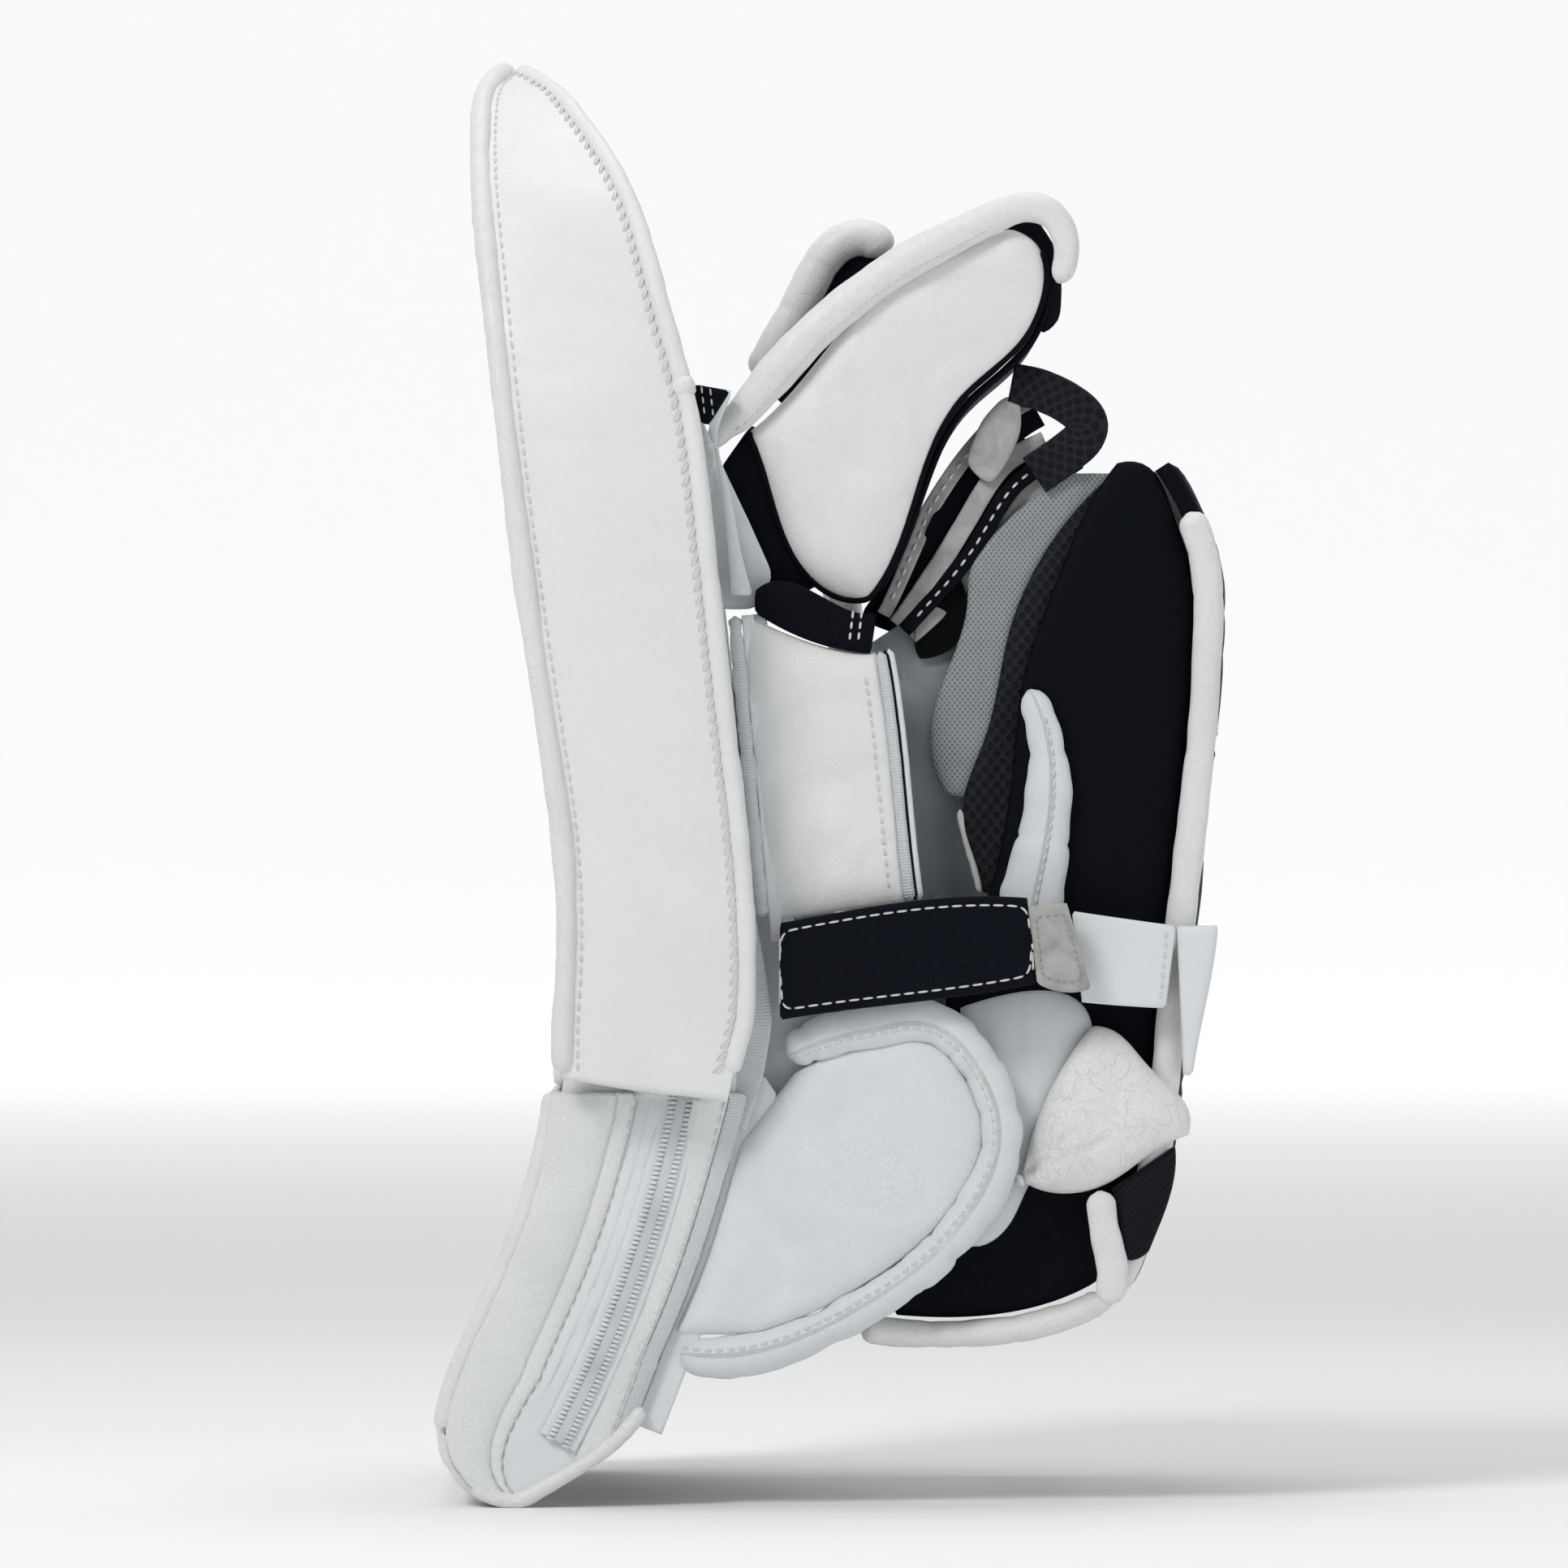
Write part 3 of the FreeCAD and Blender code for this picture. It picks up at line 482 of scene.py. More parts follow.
def stuff(piece, low_face, grow=0.02, pressure=2.0, cap=3 * MM, steps=14):
    """Swells a piece with a cloth simulation, its hidden face and rim held still.

    low_face tells from a vertex's position whether it is held; cap limits the movement."""
    scene = bpy.context.scene
    rest = np.array([v.co for v in piece.data.vertices])
    held = low_face(rest)
    group = piece.vertex_groups.new(name="held")
    group.add([int(k) for k in np.flatnonzero(held)], 1.0, "REPLACE")
    cloth = piece.modifiers.new("cloth", "CLOTH")
    settings = cloth.settings
    settings.quality = 5
    settings.mass = 0.12
    settings.vertex_group_mass = "held"
    settings.use_pressure = True
    settings.uniform_pressure_force = pressure
    settings.shrink_min = -grow
    settings.bending_stiffness = 0.25
    settings.effector_weights.gravity = 0.0
    scene.frame_start, scene.frame_end = 1, steps
    for step in range(1, steps + 1):
        scene.frame_set(step)
    shaped = piece.evaluated_get(bpy.context.evaluated_depsgraph_get()).data
    moved = np.array([v.co for v in shaped.vertices]) - rest
    scene.frame_set(1)
    piece.modifiers.remove(cloth)
    piece.vertex_groups.remove(group)
    edges = np.array([edge.vertices for edge in piece.data.edges])
    number = np.bincount(edges.ravel(), minlength=len(rest))[:, None]
    for _ in range(4):
        total = np.zeros_like(moved)
        np.add.at(total, edges[:, 0], moved[edges[:, 1]])
        np.add.at(total, edges[:, 1], moved[edges[:, 0]])
        moved = np.where(held[:, None], moved, 0.4 * moved + 0.6 * total / number)
    size = np.linalg.norm(moved, axis=1)
    moved = moved * (cap * np.tanh(size / cap) / np.maximum(size, 1e-9))[:, None]
    piece.data.vertices.foreach_set("co", (rest + moved).astype(np.float32).ravel())
    piece.data.update()


def finish(piece, body, slot, *nodes, pad=None):
    """Puts a piece on its body and hides the CAD nodes it stands for; the slot it is given is not used.

    A body given as (one, other, start, end) only has the piece's transform baked in; the piece is not bent."""
    if isinstance(body, tuple):
        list(body)
        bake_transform(piece)
    else:
        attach(piece, body)
    if nodes:
        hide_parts(*nodes)
    return piece


# ------------------------------------------------------------ materials

class Shader:
    """A procedural material being built, with short calls for its nodes."""

    def __init__(self, name, colour, roughness, **sockets):
        self.material = bpy.data.materials.new(name)
        self.material.use_nodes = True
        self.tree = self.material.node_tree
        self.surface = self.tree.nodes["Principled BSDF"]
        self.surface.inputs["Base Color"].default_value = (*colour, 1)
        self.surface.inputs["Roughness"].default_value = roughness
        for socket, value in sockets.items():
            self.surface.inputs[socket.replace("_", " ")].default_value = value
        self.where = self.tree.nodes.new("ShaderNodeTexCoord")
        self.normal = None

    def link(self, source, target):
        """Joins an output socket to an input socket."""
        self.tree.links.new(source, target)

    def node(self, kind, inputs=(), **settings):
        """A node with some inputs linked or set."""
        made = self.tree.nodes.new("ShaderNode" + kind)
        for name, value in settings.items():
            setattr(made, name, value)
        for key, value in dict(inputs).items():
            if isinstance(value, bpy.types.NodeSocket):
                self.link(value, made.inputs[key])
            else:
                made.inputs[key].default_value = value
        return made

    def coords(self, kind="Object", scale=(1, 1, 1), turn=(0, 0, 0)):
        """Object or UV coordinates, scaled and turned."""
        return self.node("Mapping", {"Vector": self.where.outputs[kind], "Scale": scale, "Rotation":
            turn}).outputs["Vector"]

    def noise(self, vector, scale, detail=3.0, distortion=0.0):
        """Fractal noise."""
        return self.node("TexNoise", {"Vector": vector, "Scale": scale, "Detail": detail, "Distortion":
            distortion}).outputs["Fac"]

    def cells(self, vector, scale, feature="DISTANCE_TO_EDGE", random=1.0, dimensions="3D"):
        """Voronoi cells."""
        return self.node("TexVoronoi", {"Vector": vector, "Scale": scale, "Randomness": random},
            feature=feature, voronoi_dimensions=dimensions).outputs["Distance"]

    def wave(self, vector, scale, direction="X", distortion=0.0):
        """Even ribs across one direction."""
        return self.node("TexWave", {"Vector": vector, "Scale": scale, "Distortion": distortion},
            bands_direction=direction).outputs["Fac"]

    def math(self, operation, first, second=0.0):
        """One arithmetic step."""
        return self.node("Math", {0: first, 1: second}, operation=operation).outputs[0]

    def ramp(self, value, low, high, start=0.0, stop=1.0):
        """The value's range low to high spread over start to stop, and clamped."""
        return self.node("MapRange", {"Value": value, "From Min": low, "From Max": high, "To Min": start,
            "To Max": stop}).outputs["Result"]

    def blend_colour(self, share, first, second):
        """A mix of two colours."""
        mixed = self.node("Mix", data_type="RGBA")
        for socket, value in ((mixed.inputs["Factor"], share), (mixed.inputs[6], first), (mixed.inputs[7],
                second)):
            if isinstance(value, bpy.types.NodeSocket):
                self.link(value, socket)
            else:
                socket.default_value = (*value, 1) if isinstance(value, tuple) else value
        return mixed.outputs[2]

    def bump(self, height, strength, depth):
        """Adds a layer of relief, with its depth in metres."""
        inputs = {"Height": height, "Strength": strength, "Distance": depth}
        if self.normal is not None:
            inputs["Normal"] = self.normal
        self.normal = self.node("Bump", inputs).outputs["Normal"]

    def done(self, colour=None, roughness=None):
        """Joins the colour, roughness and relief to the surface."""
        if colour is not None:
            self.link(colour, self.surface.inputs["Base Color"])
        if roughness is not None:
            self.link(roughness, self.surface.inputs["Roughness"])
        if self.normal is not None:
            self.link(self.normal, self.surface.inputs["Normal"])
        return self.material


def tinted(colour, share):
    """The colour with each channel scaled."""
    return tuple(share * c for c in colour)


def leather(name, colour, grain=900.0, grain_depth=0.10, wrinkles=0.5, cracks=0.0, shade=0.90,
        roughness=0.47):
    """Coated leather: pebbled grain, fine creases, slight random soiling, and painted shade in the grain's
    hollows.
    """
    made = Shader(name, colour, roughness, Specular_IOR_Level=0.42, Coat_Weight=0.06, Coat_Roughness=0.35)
    place = made.coords()
    pebbles = made.cells(place, grain)
    fine = made.noise(place, grain * 2.6, 4.0)
    broad = made.noise(place, 26.0, 4.0, 0.6)
    fold = made.noise(place, 95.0, 5.0, 1.6)
    lines = made.ramp(made.math("ABSOLUTE", made.math("SUBTRACT", fold, 0.5)), 0.0, 0.035)
    grain_height = made.ramp(pebbles, 0.0, 0.22)
    made.bump(grain_height, 0.35, grain_depth * MM)
    made.bump(fine, 0.25, 0.05 * MM)
    made.bump(lines, wrinkles, 0.12 * MM)
    made.bump(broad, 0.5, 0.8 * MM)
    dull = tinted(colour, shade)
    soiled = made.math("MULTIPLY", made.ramp(broad, 0.42, 0.72), 0.55)
    tint = made.blend_colour(soiled, colour, dull)
    # painted shade: the grooves between the pebbles are darkened in colour
    hollow = made.ramp(grain_height, 0.0, 1.0, 0.30, 0.0)
    tint = made.blend_colour(hollow, tint, tinted(colour, 0.82))
    if cracks:
        split = made.cells(made.coords(scale=(1.0, 1.0, 1.5)), 260.0)
        open_line = made.ramp(split, 0.0, 0.05, 1.0, 0.0)
        patch = made.ramp(made.noise(place, 55.0, 2.0), 0.44, 0.62)
        worn = made.math("MULTIPLY", made.math("MULTIPLY", open_line, patch), cracks)
        tint = made.blend_colour(worn, tint, tinted(colour, 0.62))
        made.bump(made.math("MULTIPLY", worn, -1.0), 0.6, 0.25 * MM)
    rough = made.ramp(broad, 0.3, 0.75, roughness - 0.07, roughness + 0.10)
    return made.done(tint, rough)


def weave(name, colour, pitch=0.75 * MM, relief=0.12 * MM, contrast=0.10, roughness=0.6, sheen=0.25,
        twill=False, fuzz=0.0):
    """Woven cloth, from the pattern's own coordinates."""
    dark_cloth = max(colour) < 0.1
    made = Shader(name, colour, roughness, Sheen_Weight=sheen, Sheen_Roughness=0.5, Specular_IOR_Level=0.07
        if dark_cloth else 0.35)
    turn = (0, 0, math.radians(45 if twill else 0))
    flat = made.coords("UV", turn=turn)
    ribs = math.pi / (10.0 * pitch)
    warp = made.wave(flat, ribs, "X")
    weft = made.wave(flat, ribs, "Y")
    if twill:
        thread = made.math("ADD", made.math("MULTIPLY", warp, 0.8), made.math("MULTIPLY", weft, 0.25))
    else:
        thread = made.math("MAXIMUM", made.math("MULTIPLY", warp, made.ramp(weft, 0, 1, 1, 0.3)),
            made.math("MULTIPLY", weft, made.ramp(warp, 0, 1, 1, 0.3)))
    place = made.coords()
    slub = made.noise(place, 380.0, 2.0)
    broad = made.noise(place, 30.0, 4.0, 0.8)
    crumple = made.noise(place, 120.0, 4.0, 1.2)
    made.bump(thread, 0.7, relief)
    made.bump(crumple, 0.5, 0.35 * MM)
    made.bump(broad, 0.5, 1.0 * MM)
    dark = tinted(colour, 1 - contrast)
    tint = made.blend_colour(made.math("MULTIPLY", thread, 1.0), dark, colour)
    tint = made.blend_colour(made.math("MULTIPLY", made.ramp(broad, 0.4, 0.75), 0.4), tint, tinted(colour,
        0.88))
    if fuzz:
        fibre = made.ramp(made.noise(place, 2600.0, 2.0), 0.45, 0.7)
        tint = made.blend_colour(made.math("MULTIPLY", fibre, fuzz), tint, tuple(min(1.0, 2.6 * c + 0.012)
            for c in colour))
        made.bump(fibre, 0.6, 0.15 * MM)
    rough = made.ramp(slub, 0.3, 0.7, roughness - 0.06, roughness + 0.08)
    return made.done(tint, rough)


def spacer(name, colour, hole_colour, pitch=2.6 * MM, hole=0.34):
    """Spacer mesh: rows of round holes in a knitted face."""
    made = Shader(name, colour, 0.62, Sheen_Weight=0.05, Specular_IOR_Level=0.2)
    flat = made.coords("UV", scale=(1.0, 0.8, 1.0), turn=(0, 0, math.radians(45)))
    spot = made.cells(flat, 1.0 / pitch, "F1", 0.0, "2D")
    solid = made.ramp(spot, hole - 0.06, hole + 0.05)
    knit = made.wave(made.coords("UV"), math.pi / (10.0 * 0.5 * MM), "Y")
    made.bump(solid, 0.9, 0.6 * MM)
    made.bump(knit, 0.4, 0.08 * MM)
    made.bump(made.noise(made.coords(), 60.0, 3.0), 0.5, 0.8 * MM)
    tint = made.blend_colour(solid, hole_colour, colour)
    return made.done(tint)


def suede(name, colour):
    """Suede: a soft mottled nap."""
    made = Shader(name, colour, 0.9, Sheen_Weight=0.45, Sheen_Roughness=0.6, Specular_IOR_Level=0.15)
    place = made.coords()
    nap = made.noise(place, 1500.0, 5.0)
    mottle = made.noise(place, 130.0, 5.0, 0.6)
    made.bump(nap, 0.7, 0.22 * MM)
    made.bump(mottle, 0.5, 0.35 * MM)
    tint = made.blend_colour(made.ramp(mottle, 0.32, 0.68), tinted(colour, 0.74), tuple(min(1.0, 1.12 * c)
        for c in colour))
    tint = made.blend_colour(made.ramp(nap, 0.4, 0.7, 0.0, 0.35), tint, tinted(colour, 0.7))
    return made.done(tint)


def thread(name, colour):
    """Twisted sewing thread."""
    made = Shader(name, colour, 0.55, Sheen_Weight=0.2)
    twist = made.wave(made.coords("UV", turn=(0, 0, math.radians(38))), math.pi / (10.0 * 0.35 * MM), "X")
    made.bump(twist, 0.8, 0.08 * MM)
    tint = made.blend_colour(twist, tinted(colour, 0.78), colour)
    return made.done(tint)


def ribbed(name, colour, pitch=0.9 * MM, direction="X", relief=0.16 * MM, roughness=0.6, contrast=0.16):
    """Ribbed ribbon or tape, with its ribs across its length."""
    made = Shader(name, colour, roughness, Sheen_Weight=0.25, Specular_IOR_Level=0.35)
    flat = made.coords("UV")
    rib = made.wave(flat, math.pi / (10.0 * pitch), direction, 0.15)
    fine = made.wave(flat, math.pi / (10.0 * 0.35 * MM), "Y" if direction == "X" else "X")
    broad = made.noise(made.coords(), 45.0, 3.0, 0.5)
    made.bump(rib, 0.8, relief)
    made.bump(fine, 0.35, 0.05 * MM)
    made.bump(broad, 0.5, 0.9 * MM)
    tint = made.blend_colour(rib, tinted(colour, 1 - contrast), colour)
    tint = made.blend_colour(made.ramp(broad, 0.45, 0.8, 0.0, 0.35), tint, tinted(colour, 0.85))
    return made.done(tint)


def plastic(name, colour, roughness=0.4, metal=0.0):
    """Moulded plastic or plated metal with slight mottling and scuffs."""
    made = Shader(name, colour, roughness, Metallic=metal, Specular_IOR_Level=0.5)
    place = made.coords()
    scuff = made.noise(made.coords(scale=(1.0, 1.0, 6.0)), 420.0, 4.0, 1.0)
    made.bump(scuff, 0.3, 0.04 * MM)
    tint = made.blend_colour(made.ramp(made.noise(place, 90.0, 3.0), 0.4, 0.7), colour, tinted(colour,
        0.86))
    return made.done(tint, made.ramp(scuff, 0.3, 0.7, roughness - 0.08, roughness + 0.12))


def floor_surface():
    """Pale matt floor with a trace of mottling, lit from within towards the far wall."""
    made = Shader("studio_floor", (0.93, 0.93, 0.93), 0.85, Specular_IOR_Level=0.1, Emission_Color=(1, 1, 1,
        1))
    depth = made.node("SeparateXYZ", {"Vector": made.coords()}).outputs["Y"]
    made.link(made.ramp(depth, 1.2, 5.0, 0.0, 0.48), made.surface.inputs["Emission Strength"])
    return made.done(made.blend_colour(made.noise(made.coords(), 1.4, 2.0), (0.92, 0.92, 0.92), (0.94, 0.94,
        0.94)))


WHITE = (0.80, 0.815, 0.80)
COOL_WHITE = (0.76, 0.787, 0.81)
BLACK = (0.0022, 0.0036, 0.0075)

# The "hole" entry is a near-black cloth that paints shade: it fills the hand's opening and the space behind
# the finger stalls.
M = {"leather": leather("white_leather", WHITE, 1000.0, 0.10, 0.45), "band": leather("band_leather", (0.80,
    0.82, 0.81), 1500.0, 0.05, 0.35, 0.0, 0.93, 0.42), "pebbled": leather("pebbled_leather", (0.76, 0.78,
    0.78), 700.0, 0.22, 0.5, 0.0, 0.88), "roll": leather("rolled_leather", (0.79, 0.80, 0.79), 1100.0, 0.09,
    0.7), "creased": leather("creased_leather", (0.79, 0.80, 0.79), 760.0, 0.20, 1.0, 0.30, 0.85, 0.5),
    "nylon": weave("white_nylon", COOL_WHITE, 0.7 * MM, 0.10 * MM, 0.10, 0.62, 0.15), "crumpled":
    weave("white_roll_cloth", (0.74, 0.77, 0.79), 0.8 * MM, 0.10 * MM, 0.12, 0.62), "white_strap":
    weave("white_strap_cloth", (0.76, 0.78, 0.80), 0.5 * MM, 0.06 * MM, 0.06, 0.5), "black":
    weave("black_nylon", BLACK, 0.55 * MM, 0.08 * MM, 0.45, 0.5, 0.0), "twill": weave("black_twill", BLACK,
    1.1 * MM, 0.22 * MM, 0.55, 0.55, 0.0, True), "loop": weave("loop_tape", (0.0035, 0.005, 0.009), 0.9 *
    MM, 0.10 * MM, 0.4, 0.85, 0.04, False, 0.22), "coarse": weave("coarse_black", (0.008, 0.010, 0.015), 1.5
    * MM, 0.35 * MM, 0.55, 0.5, 0.1, True), "mesh": spacer("spacer_mesh", (0.0075, 0.010, 0.016), (0.0006,
    0.0008, 0.0012)), "knit": spacer("grey_knit_mesh", (0.31, 0.335, 0.345), (0.19, 0.21, 0.22), 1.1 * MM,
    0.26), "lining": weave("grey_lining", (0.27, 0.30, 0.32), 1.0 * MM, 0.12 * MM, 0.18, 0.85, 0.2), "hole":
    weave("painted_shade_inside", (0.004, 0.005, 0.006), 1.0 * MM, 0.12 * MM, 0.3, 0.9, 0.0), "suede":
    suede("grey_suede", (0.40, 0.405, 0.39)), "grosgrain": ribbed("grosgrain", (0.66, 0.69, 0.72)),
    "thread": thread("white_thread", (0.90, 0.90, 0.88)), "grey_thread": thread("grey_thread", (0.42, 0.44,
    0.45)), "coil": plastic("zip_coil", (0.74, 0.77, 0.79), 0.4), "coil_core": plastic("zip_core", (0.60,
    0.62, 0.64), 0.5), "metal": plastic("zip_metal", (0.55, 0.56, 0.58), 0.3, 1.0), "foam": leather("foam",
    (0.70, 0.70, 0.67), 1600.0, 0.12, 0.1), "lace": leather("lace_leather", (0.76, 0.77, 0.75), 1200.0,
    0.06, 0.6), "cut_edge": suede("cut_leather_edge", (0.56, 0.57, 0.56)),}


# ------------------------------------------------------------ camera, light and floor

def make_studio():
    """The camera at the little-finger side, soft light and a pale floor."""
    low, high = CAD_BOX
    span = high.z - low.z
    across, up, picture_width = 0.4365, 0.4985, 1.0756      # shares of the CAD box
    aim = Vector((low.x + across * (high.x - low.x), low.y, low.z + up * span))
    distance = 3.6
    width = picture_width * span
    camera = bpy.data.cameras.new("camera")
    camera.sensor_width = 36.0
    camera.lens = 36.0 * distance / width
    camera.clip_start, camera.clip_end = 0.1, 200.0
    holder = bpy.data.objects.new("camera", camera)
    holder.location = aim - Vector((0, distance, 0))
    holder.rotation_euler = (math.radians(90), 0, 0)
    bpy.context.scene.collection.objects.link(holder)
    bpy.context.scene.camera = holder
    lights = [("key", (-1.3, -1.8, 2.0), 0.9, 34.0, (1.0, 0.985, 0.96)), ("fill", (1.8, -1.6, 0.6), 1.4,
        8.0, (0.94, 0.97, 1.0)), ("top", (0.1, 0.2, 2.2), 1.4, 15.0, (1.0, 0.99, 0.97))]
    for name, place, size, power, colour in lights:
        light = bpy.data.lights.new(name, "AREA")
        light.shape, light.size = "DISK", size
        light.energy, light.color = power, colour
        lamp = bpy.data.objects.new(name, light)
        lamp.location = place
        lamp.rotation_euler = (aim - lamp.location).to_track_quat("-Z", "Y").to_euler()
        bpy.context.scene.collection.objects.link(lamp)
    world = bpy.data.worlds.new("studio")
    world.use_nodes = True
    sky = world.node_tree.nodes["Background"]
    sky.inputs["Color"].default_value = (0.96, 0.98, 1.0, 1)
    sky.inputs["Strength"].default_value = 0.34
    bpy.context.scene.world = world
    bpy.context.scene.view_settings.view_transform = "Standard"
    height, half, bend, wall = low.z - 0.5 * MM, 16.0, 2.0, 5.5
    near_end, wall_top = -12.0, height + 9.0
    turn = np.linspace(0, math.pi / 2, 13)
    sweep = [(near_end, height)] + [(wall + bend * math.sin(a), height + bend * (1 - math.cos(a))) for a in
        turn] + [(wall + bend, wall_top)]
    points = [(x, y, z) for y, z in sweep for x in (-half, half)]
    faces = [(2 * k, 2 * k + 1, 2 * k + 3, 2 * k + 2) for k in range(len(sweep) - 1)]
    floor = add_mesh("floor", np.array(points), faces, np.array([(x, y) for x, y, _ in points]),
        floor_surface())


make_studio()


# ------------------------------------------------------------ the palm plates

# Places on the plates, in metres. centre is a point (y, z) inside a plate's outline, break_y is
# its edge at the fold, and slice_y is the slice that gives its thickness.
FINGER_PLATE = {"centre": (-0.050, 0.190), "break_y": 0.013, "slice_y": -0.030}
THUMB_PLATE = {"centre": (0.078, 0.150), "break_y": 0.027, "slice_y": 0.088}
FOLD_TOP = 0.330                        # height where the finger plate's band meets the fold
OUTLINE_PLANES = (-0.110, -0.132)       # x of the planes that a plate's outline is read in
BINDING_JOIN = (0.665, 0.696)           # shares of the plate's height where the binding is lapped


def far_hit(tree, start, direction, reach=0.6):
    """The outermost surface met along a direction, cast from outside inwards."""
    direction = Vector(direction).normalized()
    return tree.ray_cast(Vector(start) + direction * reach, -direction, reach)[0]


def plate_outline(tree, centre, count=220):
    """The plate's outline (y, z): the farther hit of rays in two planes, as its tip leans."""
    found = []
    for k in range(count):
        angle = 2 * math.pi * k / count
        direction = (0.0, math.cos(angle), math.sin(angle))
        hit = None
        for plane in OUTLINE_PLANES:
            near = far_hit(tree, (plane, *centre), direction)
            if near is not None and (hit is None or (near - Vector((near.x, *centre))).length > (hit -
                    Vector((hit.x, *centre))).length):
                hit = near
        if hit is not None:
            found.append((hit.y, hit.z))
    return np.array(found)


def side_profile(tree, y, heights):
    """Front and back X of the plate at each height on the slice at y."""
    front, back = [], []
    for z in heights:
        a = tree.ray_cast(Vector((-0.4, y, z)), Vector((1, 0, 0)), 0.8)[0]
        b = tree.ray_cast(Vector((0.3, y, z)), Vector((-1, 0, 0)), 0.8)[0]
        front.append(a.x if a else np.nan)
        back.append(b.x if b else np.nan)
    front, back = np.array(front), np.array(back)
    for values in (front, back):
        good = ~np.isnan(values)
        values[~good] = np.interp(heights[~good], heights[good], values[good])
    return front, back


class Plate:
    """The measured shape of one padded palm plate."""

    def __init__(self, prefix, body, centre, slice_y):
        self.prefix, self.body, self.centre = prefix, body, centre
        names = [prefix + end for end in ("_palm_leather", "_palm_core", "_back_board", "_perimeter_band",
            "_front_roll", "_back_binding")]
        tree = tree_of(*names)
        self.outline = resample(plate_outline(tree, centre), 3 * MM, closed=True)
        if signed_area(self.outline) < 0:
            self.outline = self.outline[::-1]
        low, high = self.outline[:, 1].min(), self.outline[:, 1].max()
        self.heights = np.linspace(low + 0.5 * MM, high - 0.5 * MM, 160)
        front, back = side_profile(tree, slice_y, self.heights)
        self.front, self.back = smooth(front[:, None], 2)[:, 0], smooth(back[:, None], 2)[:, 0]

    def front_x(self, z):
        """X of the catching face at a height."""
        return np.interp(z, self.heights, self.front)

    def back_x(self, z):
        """X of the back face at a height."""
        return np.interp(z, self.heights, self.back)


def plate_face(plate, name, x_rule, outward, material, slot, nodes, crown, thick=3.0 * MM, seams=(),
        seed=3):
    """The stuffed leather face of a plate, on its front or back side."""
    outline = plate.outline
    middle = outline.mean(0)
    loop = middle + (outline - middle) * 0.985

    def height(u, v, d):
        rise = crown * rounded(d / (26 * MM))
        rise = rise + 0.8 * MM * ripple(u, v, 34 * MM, seed) * np.clip(d / (15 * MM), 0, 1)
        rise = rise - 0.7 * MM * creases(u, v, 22 * MM, seed + 1, 1.8) * np.clip(d / (12 * MM), 0, 1)
        for seam in seams:
            rise = rise + groove(u, v, seam, 1.3 * MM, 1.6 * MM)
        return rise

    def place(u, v, w):
        return np.stack([x_rule(v) + outward * w, u, v], 1)

    piece = pillow(name, loop, height, lambda u, v, d: np.full(len(u), -thick), material, 3.2 * MM, 5 * MM,
        place)
    return finish(piece, plate.body, slot, *nodes)


def edge_frame(plate, spacing):
    """Points round the plate's rim, their outward directions, and the rim distances."""
    rim = smooth(resample(plate.outline, spacing, closed=True), 3, closed=True)
    run = np.roll(rim, -1, axis=0) - np.roll(rim, 1, axis=0)
    out = np.stack([run[:, 1], -run[:, 0]], 1)
    out = out / np.linalg.norm(out, axis=1)[:, None]
    return rim, smooth(out, 3, closed=True)


def rim_part(plate, keep):
    """The longest run of the rim where keep(y, z) holds, in order."""
    rim, out = edge_frame(plate, 2 * MM)
    good = keep(rim[:, 0], rim[:, 1])
    starts = [k for k in range(len(rim)) if good[k] and not good[k - 1]]
    best = []
    for start in starts or [0]:
        run = []
        for k in range(len(rim)):
            index = (start + k) % len(rim)
            if not good[index]:
                break
            run.append(index)
        best = max(best, run, key=len)
    return rim[best], out[best]


